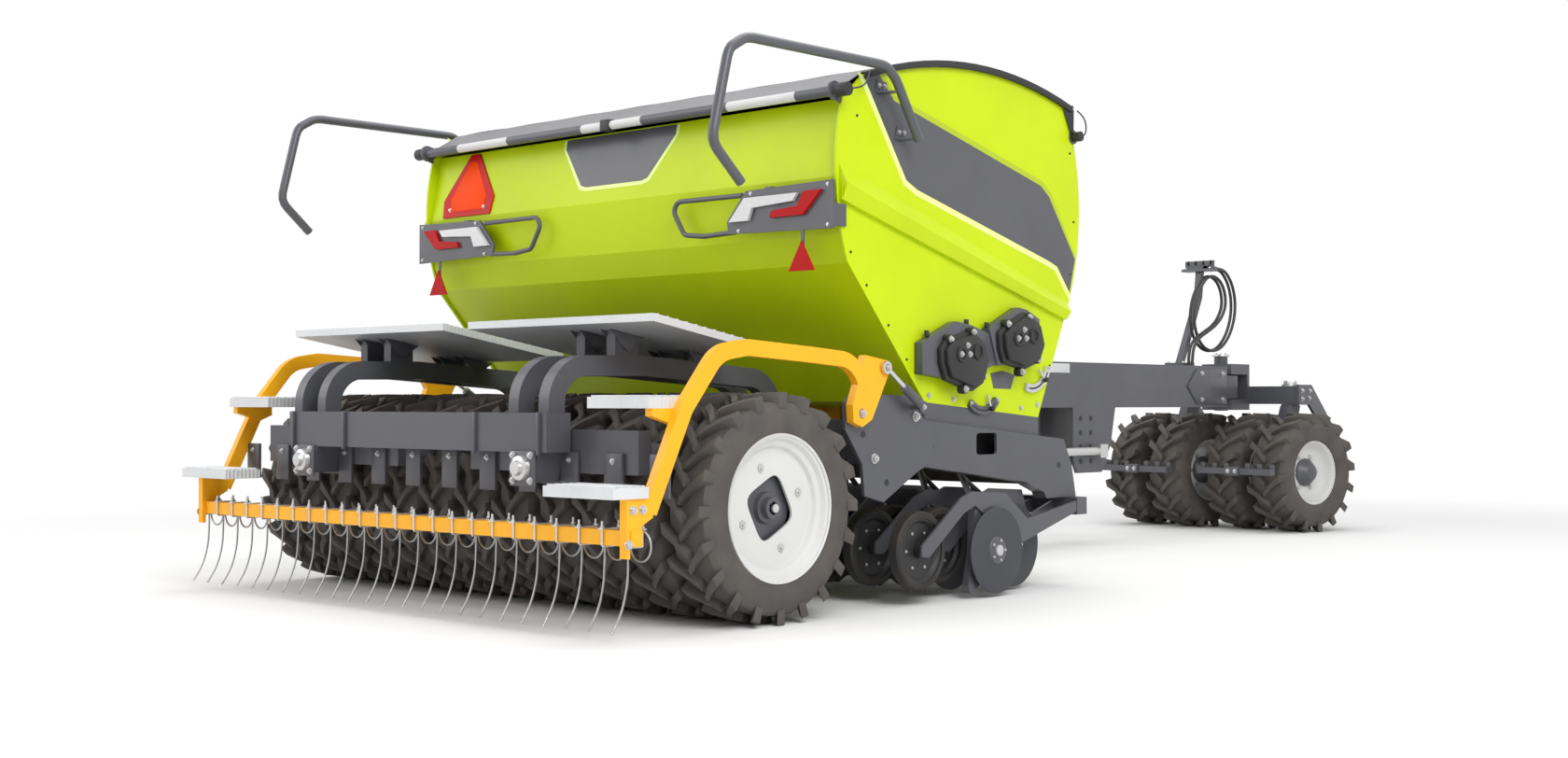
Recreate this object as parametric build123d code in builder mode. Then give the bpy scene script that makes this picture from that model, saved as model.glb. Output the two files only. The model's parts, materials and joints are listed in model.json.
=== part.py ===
from build123d import *
import os
from math import cos, pi, radians, sin, tan

os.makedirs("parts", exist_ok=True)

# Rigid trailed seed drill, three metres wide, on a rear tyre packer and a steered front packer.
# Millimetres and degrees. +Y points forward, +X to the machine's right, Z = 0 is the ground.
# Stations are distances forward of the rear packer axle. The origin is under the middle of the machine.
SIDES = (-1, 1)

# Sowing rows
ROW_COUNT = 24
ROW_PITCH = 125.0
ROW_STAGGER = 300.0

# Overall reach behind and ahead of the rear axle
REAR_REACH = 850.0
FRONT_REACH = 6820.0
AXLE_Y = (REAR_REACH - FRONT_REACH) / 2

# Rear packer tyres, two gangs of six
GANG_TYRES = 6
REAR_TYRE_PITCH = 250.0
REAR_TYRE_RADIUS = 445.0
REAR_TYRE_WIDTH = 210.0
REAR_RIM_RADIUS = 278.0
REAR_LUG_HEIGHT = 30.0
REAR_RIM_OPENING = 148.0
REAR_SHAFT_RADIUS = 42.0
TYRE_FLATS = 18
GANG_MIDDLE = REAR_TYRE_PITCH * GANG_TYRES / 2

# Front packer, two steered pairs
FRONT_TYRE_RADIUS = 390.0
FRONT_TYRE_WIDTH = 270.0
FRONT_TYRE_PITCH = 380.0
FRONT_RIM_RADIUS = 205.0
FRONT_LUG_HEIGHT = 28.0
FRONT_SHAFT_RADIUS = 38.0
CASTOR_OFFSET = 380.0
CASTOR_STATION = 6220.0
CASTOR_TRAIL = 130.0
CASTOR_STEER = -12.0
CASTOR_PIN_RADIUS = 32.0
KINGPIN_STATION = 5970.0
KINGPIN_RADIUS = 45.0

# Running and seating clearances
RUNNING_GAP = 0.3
PIN_GAP = 3.0

# Main frame
SIDE_FRAME_OUTER = 1400.0
SIDE_FRAME_INNER = 1330.0
FRAME_WEB = 12.0
PACKER_ARM_PLATE = 16.0
REAR_BEAM_STATION = (560.0, 660.0)
REAR_BEAM_HEIGHT = (620.0, 780.0)
FRONT_BEAM_STATION = (1900.0, 2000.0)
FRONT_BEAM_HEIGHT = (470.0, 620.0)
COULTER_BAR_STATION = (2030.0, 2110.0)
COULTER_BAR_HEIGHT = (330.0, 410.0)
COULTER_BAR_PASS = 60.0

# Hopper
HOPPER_HALF = 1376.0
END_PLATE = 12.0
WALL_SHEET = 8.0
COVER_SHEET = 10.0
COVER_OVERHANG = 20.0
RAIL_OFFSET = 1453.0
RAIL_RADIUS = 20.0
ROLL_TUBE_RADIUS = 22.0
ROLL_TUBE_HALF = 1414.0
ROLL_TUBE_AT = (425.0, 2128.0)

# Drawbar and hitch
DRAWBAR_HALF = 130.0
DRAWBAR_HEIGHT = (820.0, 1090.0)
DRAWBAR_STATION = (2100.0, 5820.0)
HUB_RADIUS = 110.0
HUB_HEIGHT = (880.0, 1030.0)
HITCH_BEAM_HALF = 460.0
HITCH_BEAM_SIZE = 120.0
HITCH_BEAM_BOTTOM = 840.0
HITCH_PLATE = 20.0
LINK_HOLE_RADIUS = 18.4
LINK_EYE_RADIUS = 40.0
LINK_EYE_INSIDE = 30.0
LINK_EYE_AT = (6775.0, 515.0)

# Rear harrow
HARROW_PIVOT = (500.0, 805.0)
HARROW_ARM_INNER = 1420.0
HARROW_ARM_THICK = 36.0
HARROW_ARM_DEPTH = 62.0
HARROW_ARM_BEND = 150.0
HARROW_PIN_RADIUS = 20.0
HARROW_BEAM_SIZE = 55.0
HARROW_BEAM_PASS = 5.0
HARROW_BEAM_REAR = -758.0
HARROW_BEAM_BOTTOM = 342.0
TINE_WIRE = 8.0
TINE_LOOP_RADIUS = 57.0
CYLINDER_PIN_AT = (635.0, 991.0)
CYLINDER_FOOT_AT = (870.0, 830.0)
CYLINDER_PIN_RADIUS = 12.0
CYLINDER_SIDE = 1470.0
BARREL_RADIUS = 20.0
BARREL_END = 145.0
ROD_RADIUS = 10.0
ROD_START = 110.0
EYE_RADIUS = 26.0
EYE_WIDTH = 14.0

# Coulters, places of the rear row
DISC_AT = (1389.0, 204.0)
DISC_RADIUS = 190.0
DISC_SHEET = 6.0
PRESS_WHEEL_AT = (907.0, 229.0)
PRESS_WHEEL_RADIUS = 167.0
PRESS_WHEEL_WIDTH = 55.0
ARM_PLATE = 12.0

row_places = [(i - (ROW_COUNT - 1) / 2) * ROW_PITCH for i in range(ROW_COUNT)]
rear_rows = row_places[1::2]
front_rows = row_places[0::2]
gang_places = [REAR_TYRE_PITCH * (i + 0.5) for i in range(GANG_TYRES)]


def outline(points):
    """Turn (station, height) points into (Y, Z) points of the machine's frame."""
    return [(AXLE_Y + station, height) for station, height in points]


def prism_x(points, start, end, mode=Mode.ADD):
    """Extrude a closed (station, height) outline across the machine, between two X places."""
    with BuildSketch(Plane.YZ.offset(min(start, end))) as profile:
        with BuildLine():
            Polyline(*outline(points), close=True)
        make_face()
    extrude(profile.sketch, amount=abs(end - start), mode=mode)


def prism_y(points, rear, front, mode=Mode.ADD):
    """Extrude a closed (X, Z) outline along the machine, between two stations."""
    with BuildSketch(Plane.XZ.offset(-(AXLE_Y + front))) as profile:
        with BuildLine():
            Polyline(*points, close=True)
        make_face()
    extrude(profile.sketch, amount=front - rear, mode=mode)


def sheet_x(points, shift, start, end):
    """Extrude a bent sheet: a line of (station, height) points and its copy moved by shift."""
    inner = [(station + shift[0], height + shift[1]) for station, height in reversed(points)]
    prism_x(points + inner, start, end)


def block(across, along, heights, mode=Mode.ADD):
    """Place a box by its (low, high) limits in X, station and Z."""
    low_x, high_x = sorted(across)
    with Locations(((low_x + high_x) / 2, AXLE_Y + sum(along) / 2, sum(heights) / 2)):
        Box(high_x - low_x, along[1] - along[0], heights[1] - heights[0], mode=mode)


def rod_x(place, radius, start, end, mode=Mode.ADD):
    """Run a round bar across the machine at a (station, height) place."""
    with BuildSketch(Plane.YZ.offset(min(start, end))) as profile:
        with Locations(outline([place])[0]):
            Circle(radius)
    extrude(profile.sketch, amount=abs(end - start), mode=mode)


def flats_x(place, radius, flats, start, end):
    """Run a flat-sided bar across the machine at a (station, height) place."""
    with BuildSketch(Plane.YZ.offset(min(start, end))) as profile:
        with Locations(outline([place])[0]):
            RegularPolygon(radius, flats, major_radius=False)
    extrude(profile.sketch, amount=abs(end - start))


def rod_y(place, radius, rear, front, mode=Mode.ADD):
    """Run a round bar along the machine at an (X, Z) place."""
    with BuildSketch(Plane.XZ.offset(-(AXLE_Y + front))) as profile:
        with Locations(place):
            Circle(radius)
    extrude(profile.sketch, amount=front - rear, mode=mode)


def rod_z(place, radius, bottom, top, mode=Mode.ADD):
    """Stand a round bar at an (X, station) place."""
    with BuildSketch(Plane.XY.offset(bottom)) as profile:
        with Locations((place[0], AXLE_Y + place[1])):
            Circle(radius)
    extrude(profile.sketch, amount=top - bottom, mode=mode)


def bent_tube(points, plane, section, bend):
    """Sweep a round tube along a flat path of runs and bends."""
    with BuildLine(plane) as path:
        FilletPolyline(*points, radius=bend)
    with BuildSketch(Plane(origin=path.line @ 0, z_dir=path.line % 0)) as profile:
        Circle(section)
    sweep(profile.sketch, path=path.line)


def bent_bar_x(points, depth, bend, start, end):
    """Extrude a flat bar that follows a bent (station, height) line across X."""
    with BuildSketch(Plane.YZ.offset(min(start, end))) as profile:
        with BuildLine():
            FilletPolyline(*outline(points), radius=bend)
        trace(line_width=depth)
    extrude(profile.sketch, amount=abs(end - start))


def lugged_tyre(radius, width, bore, lug_height):
    """Make a tyre about the X axis: a flat-sided carcass with a slanted lug on each flat."""
    tread = radius - lug_height
    flat_half = tread * tan(radians(180 / TYRE_FLATS))
    lug_half = 0.42 * flat_half
    slant = 0.32 * flat_half
    with BuildPart() as tyre:
        with BuildSketch(Plane.YZ.offset(-width / 2)):
            RegularPolygon(tread, TYRE_FLATS, major_radius=False)
            RegularPolygon(bore, TYRE_FLATS, major_radius=False, mode=Mode.SUBTRACT)
        extrude(amount=width)
        for flat in range(TYRE_FLATS):
            turn = radians(270 + flat * 360 / TYRE_FLATS)
            outward = (0, cos(turn), sin(turn))
            side = 1 if flat % 2 else -1
            middle, shoulder = -side * 0.06 * width, side * width / 2
            seat = Plane(origin=(0, tread * cos(turn), tread * sin(turn)), x_dir=(1, 0, 0), z_dir=outward)
            with BuildSketch(seat):
                with BuildLine():
                    Polyline(
                        (middle, -slant - lug_half),
                        (shoulder, slant - lug_half),
                        (shoulder, slant + lug_half),
                        (middle, -slant + lug_half),
                        close=True,
                    )
                make_face()
            extrude(amount=lug_height)
    return tyre.part


def plain_rim(bore, width, shaft):
    """Make a flat-sided rim disc about the X axis, bored for its shaft."""
    with BuildPart() as rim:
        with BuildSketch(Plane.YZ.offset(-width / 2)):
            RegularPolygon(bore, TYRE_FLATS, major_radius=False)
            Circle(shaft, mode=Mode.SUBTRACT)
        extrude(amount=width)
    return rim.part


def dished_rim(bore, width, opening, shaft):
    """Make a rim with a dished outer face, a centre opening and a hub plate behind it."""
    face = width / 2
    with BuildPart() as rim:
        with BuildSketch(Plane.YZ.offset(-face)):
            RegularPolygon(bore, TYRE_FLATS, major_radius=False)
        extrude(amount=width)
        with BuildSketch(Plane.YZ.offset(face)):
            RegularPolygon(bore - 22, TYRE_FLATS, major_radius=False)
        extrude(amount=-0.28 * width, mode=Mode.SUBTRACT, taper=12)
        with BuildSketch(Plane.YZ.offset(face)):
            RegularPolygon(opening, TYRE_FLATS, major_radius=False)
        extrude(amount=-0.42 * width, mode=Mode.SUBTRACT)
        with BuildSketch(Plane.YZ.offset(-face)):
            Circle(shaft)
        extrude(amount=width, mode=Mode.SUBTRACT)
    return rim.part


def finish(piece, label):
    """Name a finished piece and write its STEP file."""
    piece.part.label = label
    export_step(piece.part, f"parts/{label}.step")


# Side frames: channels with a window, closed towards the outside, and sills under the hopper
PANEL = [
    (960, 775), (2010, 680), (2075, 560), (COULTER_BAR_STATION[1], COULTER_BAR_HEIGHT[1]),
    (1870, COULTER_BAR_HEIGHT[1]), (1850, 440), (1710, 490), (960, 578),
]
SILL = [(1001, 851), (1838, 782), (1838, 690), (1001, 765)]
with BuildPart() as side_frames:
    for side in SIDES:
        prism_x(PANEL, side * SIDE_FRAME_INNER, side * SIDE_FRAME_OUTER)
        with BuildSketch(Plane.YZ.offset(side * (SIDE_FRAME_OUTER - FRAME_WEB))):
            with BuildLine():
                Polyline(*outline(PANEL), close=True)
            make_face()
            offset(amount=-FRAME_WEB, kind=Kind.INTERSECTION, mode=Mode.REPLACE)
        extrude(amount=-side * (SIDE_FRAME_OUTER - FRAME_WEB - SIDE_FRAME_INNER), mode=Mode.SUBTRACT)
        prism_x(SILL, side * (HOPPER_HALF - 2 * END_PLATE), side * HOPPER_HALF)
        with BuildSketch(Plane.YZ.offset(side * SIDE_FRAME_OUTER)):
            with Locations(outline([(1410, 668)])[0]):
                RectangleRounded(150, 95, 18)
        extrude(amount=-side * 2 * FRAME_WEB, mode=Mode.SUBTRACT)
finish(side_frames, "side_frames")

# Packer arms: plates that carry the rear beam, the harrow pivots and the harrow cylinders
ARM_PLATE_OUTLINE = [
    (440, 850), (470, 880), (650, 880), (840, 880), (915, 865), (930, 790), (1010, 740), (1010, 600),
    (905, 560), (680, 440), (560, 470), (545, 600), (440, 740),
]
packer_arm_outer = SIDE_FRAME_OUTER + PACKER_ARM_PLATE
harrow_arm_outer = HARROW_ARM_INNER + HARROW_ARM_THICK
eye_span = (CYLINDER_SIDE - EYE_WIDTH / 2, CYLINDER_SIDE + EYE_WIDTH / 2)
bore_span = (CYLINDER_SIDE - 2 * BARREL_RADIUS, CYLINDER_SIDE + 2 * BARREL_RADIUS)
with BuildPart() as packer_arms:
    for side in SIDES:
        prism_x(ARM_PLATE_OUTLINE, side * SIDE_FRAME_OUTER, side * packer_arm_outer)
        block((side * SIDE_FRAME_INNER, side * SIDE_FRAME_OUTER), (560, 960), (600, 790))
        rod_x(HARROW_PIVOT, HARROW_PIN_RADIUS, side * packer_arm_outer, side * harrow_arm_outer)
        rod_x(CYLINDER_FOOT_AT, CYLINDER_PIN_RADIUS, side * packer_arm_outer, side * eye_span[1])
finish(packer_arms, "packer_arms")

# Cross beams between the side frames
with BuildPart() as cross_beams:
    block((-SIDE_FRAME_INNER, SIDE_FRAME_INNER), REAR_BEAM_STATION, REAR_BEAM_HEIGHT)
    web_inside = SIDE_FRAME_OUTER - FRAME_WEB
    block((-web_inside, web_inside), FRONT_BEAM_STATION, FRONT_BEAM_HEIGHT)
finish(cross_beams, "cross_beams")

# Drawbar: box beam, rear post, leg plates and the lower stay
with BuildPart() as drawbar:
    block((-DRAWBAR_HALF, DRAWBAR_HALF), DRAWBAR_STATION, DRAWBAR_HEIGHT)
    block((-HUB_RADIUS, HUB_RADIUS), (DRAWBAR_STATION[1], KINGPIN_STATION), HUB_HEIGHT)
    rod_z((0, KINGPIN_STATION), HUB_RADIUS, *HUB_HEIGHT)
    rod_z((0, KINGPIN_STATION), KINGPIN_RADIUS + RUNNING_GAP, 700, 1200, mode=Mode.SUBTRACT)
finish(drawbar, "drawbar")

with BuildPart() as drawbar_leg:
    for side in SIDES:
        prism_x(
            [(3990, 820), (4450, 820), (4400, 600), (4300, 430), (4040, 430), (3990, 520)],
            side * (DRAWBAR_HALF - 24), side * DRAWBAR_HALF,
        )
finish(drawbar_leg, "drawbar_leg")

with BuildPart() as drawbar_stay:
    block((-DRAWBAR_HALF, DRAWBAR_HALF), (FRONT_BEAM_STATION[1], 2300), (480, DRAWBAR_HEIGHT[0]))
    block((24 - DRAWBAR_HALF, DRAWBAR_HALF - 24), (2300, 4250), (480, 580))
finish(drawbar_stay, "drawbar_stay")

# Depth cylinders between the leg and the front cross beam
with BuildPart() as depth_cylinders:
    for side in SIDES:
        rod_y((side * 175, 560), 45, FRONT_BEAM_STATION[1], 3300)
        rod_y((side * 175, 560), 25, 3300, 4180)
        block((side * DRAWBAR_HALF, side * 200), (4180, 4260), (520, 600))
finish(depth_cylinders, "depth_cylinders")

# Hopper end plates with a pressed diagonal rib
ROOF = [(600, 2195), (1290, 2326), (2095, 2231)]
FRONT_EDGE = [(2109, 2143), (2178, 1761), (2109, 1367)]
REAR_EDGE = [(503, 1417), (432, 1733), (470, 2085)]
FLOOR_EDGE = [SILL[1], SILL[0]]
END_RIB = [(445, 1732), (445, 1668), (2040, 1236), (2056, 1268)]
hopper_inner = HOPPER_HALF - END_PLATE
for name, side in (("hopper_end_left", -1), ("hopper_end_right", 1)):
    with BuildPart() as hopper_end:
        with BuildSketch(Plane.YZ.offset(min(side * hopper_inner, side * HOPPER_HALF))):
            with BuildLine():
                ThreePointArc(*outline(ROOF))
                Line(*outline([ROOF[2], FRONT_EDGE[0]]))
                ThreePointArc(*outline(FRONT_EDGE))
                Polyline(*outline([FRONT_EDGE[2], *FLOOR_EDGE, REAR_EDGE[0]]))
                ThreePointArc(*outline(REAR_EDGE))
                Line(*outline([REAR_EDGE[2], ROOF[0]]))
            make_face()
        extrude(amount=END_PLATE)
        prism_x(END_RIB, side * HOPPER_HALF, side * (HOPPER_HALF + 20))
    finish(hopper_end, name)

# Hopper walls: bent sheets between the end plates
REAR_WALL_UPPER = [(512, 2090), (448, 1765), (472, 1530), (520, 1417)]
FLOOR = [(1008, 854), (1828, 785)]
TROUGH = [
    (520, 1417), (757, 1150), *FLOOR, (1828, 785 + WALL_SHEET), (1016, 854 + WALL_SHEET),
    (757 + WALL_SHEET, 1150), (520 + WALL_SHEET, 1417),
]
FRONT_WALL = [(1828, 783), (1828, 795), (2100, 1375), (2160, 1761), (2095, 2140)]
with BuildPart() as hopper_rear_wall:
    sheet_x(REAR_WALL_UPPER, (WALL_SHEET, 0), -hopper_inner, hopper_inner)
finish(hopper_rear_wall, "hopper_rear_wall")

with BuildPart() as hopper_trough:
    prism_x(TROUGH, -hopper_inner, hopper_inner)
finish(hopper_trough, "hopper_trough")

with BuildPart() as hopper_front_wall:
    sheet_x(FRONT_WALL, (WALL_SHEET, 0), -hopper_inner, hopper_inner)
finish(hopper_front_wall, "hopper_front_wall")

# Tarp cover, its rear flap and its roll tube
with BuildPart() as hopper_cover:
    cover_half = HOPPER_HALF + COVER_OVERHANG
    with BuildSketch(Plane.YZ.offset(-cover_half)):
        with BuildLine():
            low = [(y, z + RUNNING_GAP) for y, z in outline(ROOF)]
            high = [(y, z + COVER_SHEET) for y, z in low]
            ThreePointArc(*low)
            Line(low[2], high[2])
            ThreePointArc(*reversed(high))
            Line(high[0], low[0])
        make_face()
    extrude(amount=2 * cover_half)
finish(hopper_cover, "hopper_cover")

with BuildPart() as rear_flap:
    sheet_x([(450, 2074), (600, 2201)], (-5, 6), -hopper_inner, hopper_inner)
finish(rear_flap, "rear_flap")

with BuildPart() as cover_roll_tube:
    rod_x(ROLL_TUBE_AT, ROLL_TUBE_RADIUS, -ROLL_TUBE_HALF, ROLL_TUBE_HALF)
finish(cover_roll_tube, "cover_roll_tube")

with BuildPart() as roll_tube_brackets:
    for side in SIDES:
        prism_x(
            [(390, 2150), (440, 2165), (560, 2120), (540, 2040), (470, 2040), (395, 2095)],
            side * HOPPER_HALF, side * (HOPPER_HALF + END_PLATE),
        )
        rod_x(
            ROLL_TUBE_AT, ROLL_TUBE_RADIUS + RUNNING_GAP, side * (HOPPER_HALF - 5),
            side * (HOPPER_HALF + 30), mode=Mode.SUBTRACT,
        )
finish(roll_tube_brackets, "roll_tube_brackets")

# Handrails on both sides
RAIL_PATH = [
    (-198, 1672), (-355, 1812), (-265, 2168), (-168, 2225), (596, 2217), (685, 2191), (869, 1943),
]
with BuildPart() as handrails:
    for side in SIDES:
        bent_tube(outline(RAIL_PATH), Plane.YZ.offset(side * RAIL_OFFSET), RAIL_RADIUS, 55)
        for place in ((765, 2083), (855, 1962)):
            rod_x(place, 14, side * HOPPER_HALF, side * RAIL_OFFSET)
finish(handrails, "handrails")

# Rear light panels with a tube guard, lamps and reflectors
PANEL_REAR = 398.0
PANEL_SHEET = 12.0
LAMP_GUARD = [(870, 1720), (425, 1722), (520, 1575), (640, 1562), (830, 1568)]
with BuildPart() as light_panels:
    for side in SIDES:
        prism_y(
            [(side * x, z) for x, z in ((1388, 1745), (1388, 1549), (800, 1560), (790, 1612), (900, 1735))],
            PANEL_REAR, PANEL_REAR + PANEL_SHEET,
        )
        block((side * HOPPER_HALF, side * (HOPPER_HALF + END_PLATE)), (PANEL_REAR, 480), (1560, 1650))
        block((side * 1000, side * 1040), (PANEL_REAR + PANEL_SHEET, 450), (1730, 1745))
        bent_tube(
            [(side * x, z) for x, z in LAMP_GUARD],
            Plane.XZ.offset(-(AXLE_Y + PANEL_REAR + PANEL_SHEET)), 11, 40,
        )
        block((side * 1214, side * 1230), (PANEL_REAR, PANEL_REAR + 6), (1385, 1600))
finish(light_panels, "light_panels")

LAMP_DEPTH = 16.0
TAIL_LAMP = [(1335, 1708), (1235, 1612), (1050, 1612), (1062, 1640), (1205, 1650), (1240, 1708)]
MARKER_LAMP = [(815, 1608), (905, 1704), (1205, 1704), (1180, 1672), (950, 1660), (925, 1608)]
with BuildPart() as tail_lamps:
    for side in SIDES:
        prism_y([(side * x, z) for x, z in TAIL_LAMP], PANEL_REAR - LAMP_DEPTH, PANEL_REAR)
finish(tail_lamps, "tail_lamps")

with BuildPart() as marker_lamps:
    for side in SIDES:
        prism_y([(side * x, z) for x, z in MARKER_LAMP], PANEL_REAR - LAMP_DEPTH, PANEL_REAR)
finish(marker_lamps, "marker_lamps")

with BuildPart() as reflectors:
    for side in SIDES:
        prism_y(
            [(side * 1222 - 70, 1385), (side * 1222 + 70, 1385), (side * 1222, 1507)],
            PANEL_REAR - 8, PANEL_REAR,
        )
finish(reflectors, "reflectors")

# Slow vehicle sign on the left of the rear wall, flat against its upper panel
wall_low, wall_high = REAR_WALL_UPPER[1], REAR_WALL_UPPER[0]
wall_rise, wall_lean = wall_high[1] - wall_low[1], wall_high[0] - wall_low[0]
with BuildPart() as vehicle_sign:
    sign_plane = Plane(
        origin=(-1066, AXLE_Y + wall_low[0], wall_low[1]), x_dir=(1, 0, 0), z_dir=(0, -wall_rise, wall_lean),
    )
    with BuildSketch(sign_plane):
        with BuildLine():
            Polyline((-185, 6), (185, 6), (198, 95), (34, 322), (-34, 322), (-198, 95), close=True)
        make_face()
    extrude(amount=8)
finish(vehicle_sign, "vehicle_sign")

# Metering drive on the right end plate: bracket plates and domed covers
GEARBOX_BRACKET = 14.0
GEARBOX_DEPTH = 70.0
gearbox_face = HOPPER_HALF + GEARBOX_BRACKET
GEARBOX_PLATES = (
    [(885, 1105), (950, 1150), (1090, 1130), (1090, 930), (960, 930), (885, 980)],
    [(1120, 1215), (1400, 1215), (1400, 1060), (1300, 905), (1120, 905)],
    [(1440, 1275), (1780, 1275), (1780, 1090), (1660, 985), (1440, 985)],
)
with BuildPart() as gearbox_brackets:
    for plate in GEARBOX_PLATES:
        prism_x(plate, HOPPER_HALF, gearbox_face)
finish(gearbox_brackets, "gearbox_brackets")

with BuildPart() as gearbox_covers:
    for middle_station, middle_height in ((1255, 1060), (1605, 1130)):
        with BuildSketch(Plane.YZ.offset(gearbox_face)):
            with Locations(outline([(middle_station, middle_height)])[0]):
                RegularPolygon(135, 6)
        extrude(amount=GEARBOX_DEPTH, taper=14)
finish(gearbox_covers, "gearbox_covers")

# Metering units under the hopper, with the collars of their seed tubes
METER_STATION = 1420.0
METER_WIDTH = 80.0
METER_PITCH = 103.0
meter_places = [(i - (ROW_COUNT - 1) / 2) * METER_PITCH for i in range(ROW_COUNT)]
COLLAR_HEIGHT = 50.0
COLLAR_RADIUS = 30.0
TUBE_RADIUS = 16.0
meter_bottom = 690.0
floor_fall = (FLOOR[1][1] - FLOOR[0][1]) / (FLOOR[1][0] - FLOOR[0][0])


def floor_underside(station):
    """Give the height of the hopper floor's underside at a station."""
    return FLOOR[0][1] + floor_fall * (station - FLOOR[0][0])


with BuildPart() as meter_housing:
    prism_x(
        [
            (METER_STATION - 90, floor_underside(METER_STATION - 90)),
            (METER_STATION + 90, floor_underside(METER_STATION + 90)),
            (METER_STATION + 80, 725), (METER_STATION + 35, meter_bottom),
            (METER_STATION - 35, meter_bottom), (METER_STATION - 80, 725),
        ],
        -METER_WIDTH / 2, METER_WIDTH / 2,
    )
    with BuildSketch(Plane.XY.offset(meter_bottom)):
        with Locations((0, AXLE_Y + METER_STATION)):
            RegularPolygon(COLLAR_RADIUS, 6)
    extrude(amount=-COLLAR_HEIGHT, taper=12)
with BuildPart() as meter_housings:
    with Locations(*[(x, 0, 0) for x in meter_places]):
        add(meter_housing.part)
finish(meter_housings, "meter_housings")

# Coulters: one of each row and side is built on the centre line and copied along the bar
ARM_SIDE = 8.0
DISC_SIDE = 30.0
BOOT_WIDTH = 34.0
DISC_AXLE_RADIUS = 14.0
DISC_HUB_RADIUS = 40.0
DISC_HUB_LENGTH = 24.0
PRESS_AXLE_RADIUS = 12.0
PRESS_HUB_RADIUS = 34.0
TUBE_TOP = (METER_STATION, meter_bottom - COLLAR_HEIGHT)
BOOT_TOP = (1296.0, 385.0)
hub_face = ARM_SIDE + ARM_PLATE + RUNNING_GAP
with BuildPart() as coulter_bar:
    coulter_bar_half = SIDE_FRAME_OUTER + COULTER_BAR_PASS
    block((-coulter_bar_half, coulter_bar_half), COULTER_BAR_STATION, COULTER_BAR_HEIGHT)
finish(coulter_bar, "coulter_bar")


def coulter_arm(shift, side):
    """Make the arched arm plate with its seed boot and axle stubs, shift ahead of the rear row."""
    with BuildPart() as arm:
        prism_x(
            [
                (COULTER_BAR_STATION[0], 395), (1640 + 0.6 * shift, 330), (1470 + shift, 452),
                (1227 + shift, 466), (1150 + shift, 440), (880 + shift, 250), (880 + shift, 205),
                (930 + shift, 200),
                (1170 + shift, 375), (1250 + shift, 405), (1370 + shift, 330), (1350 + shift, 180),
                (1430 + shift, 170), (1560 + shift, 215), (COULTER_BAR_STATION[0], 345),
            ],
            side * ARM_SIDE, side * (ARM_SIDE + ARM_PLATE),
        )
        prism_x(
            [
                (1262 + shift, BOOT_TOP[1]), (1330 + shift, BOOT_TOP[1]), (1365 + shift, 250),
                (1352 + shift, 180), (1300 + shift, 60), (1230 + shift, 25), (1215 + shift, 60),
                (1250 + shift, 200),
            ],
            side * (ARM_SIDE - BOOT_WIDTH), side * ARM_SIDE,
        )
        disc_middle = (DISC_AT[0] + shift, DISC_AT[1])
        press_middle = (PRESS_WHEEL_AT[0] + shift, PRESS_WHEEL_AT[1])
        rod_x(disc_middle, DISC_AXLE_RADIUS, side * (ARM_SIDE + ARM_PLATE), side * (DISC_SIDE + 16))
        rod_x(press_middle, PRESS_AXLE_RADIUS, -side * PRESS_WHEEL_WIDTH, side * ARM_SIDE)
    return arm.part


def coulter_disc(shift, side):
    """Make an opening disc with its hub, free on the arm's stub."""
    middle = (DISC_AT[0] + shift, DISC_AT[1])
    with BuildPart() as disc:
        flats_x(middle, DISC_RADIUS, 16, side * DISC_SIDE, side * (DISC_SIDE + DISC_SHEET))
        flats_x(middle, DISC_HUB_RADIUS, 8, side * hub_face, side * (hub_face + DISC_HUB_LENGTH))
        rod_x(
            middle, DISC_AXLE_RADIUS + RUNNING_GAP, side * ARM_SIDE, side * (DISC_SIDE + DISC_HUB_LENGTH),
            mode=Mode.SUBTRACT,
        )
    return disc.part


def press_wheel(shift, side):
    """Make a press wheel with its hub, free on the arm's stub."""
    middle = (PRESS_WHEEL_AT[0] + shift, PRESS_WHEEL_AT[1])
    with BuildPart() as wheel:
        flats_x(middle, PRESS_WHEEL_RADIUS, 14, -side * PRESS_WHEEL_WIDTH, 0)
        flats_x(middle, PRESS_HUB_RADIUS, 8, -side * PRESS_WHEEL_WIDTH, side * (ARM_SIDE - RUNNING_GAP))
        rod_x(
            middle, PRESS_AXLE_RADIUS + RUNNING_GAP, -side * (PRESS_WHEEL_WIDTH + ARM_SIDE), side * ARM_SIDE,
            mode=Mode.SUBTRACT,
        )
    return wheel.part


def along_row(places, shift, make):
    """Copy a coulter piece along one row, mirrored on the left half of the machine."""
    for side in SIDES:
        piece = make(shift, side)
        with Locations(*[(x, 0, 0) for x in places if x * side > 0]):
            add(piece)


rows = ((front_rows, ROW_STAGGER), (rear_rows, 0.0))
with BuildPart() as coulter_arms:
    for places, shift in rows:
        along_row(places, shift, coulter_arm)
finish(coulter_arms, "coulter_arms")

with BuildPart() as seed_tubes:
    for places, shift in rows:
        for x in places:
            side = 1 if x > 0 else -1
            foot = Vector(x + side * (ARM_SIDE - BOOT_WIDTH / 2), AXLE_Y + BOOT_TOP[0] + shift, BOOT_TOP[1])
            run = Vector(x * METER_PITCH / ROW_PITCH, AXLE_Y + TUBE_TOP[0], TUBE_TOP[1]) - foot
            with BuildSketch(Plane.XY.offset(foot.Z)):
                with Locations((foot.X, foot.Y)):
                    RegularPolygon(TUBE_RADIUS, 6)
            extrude(amount=run.length, dir=run.normalized())
finish(seed_tubes, "seed_tubes")

for name, (places, shift) in zip(("front", "rear"), rows):
    with BuildPart() as discs:
        along_row(places, shift, coulter_disc)
    finish(discs, f"discs_{name}")

    with BuildPart() as press_wheels:
        along_row(places, shift, press_wheel)
    finish(press_wheels, f"press_wheels_{name}")

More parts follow.
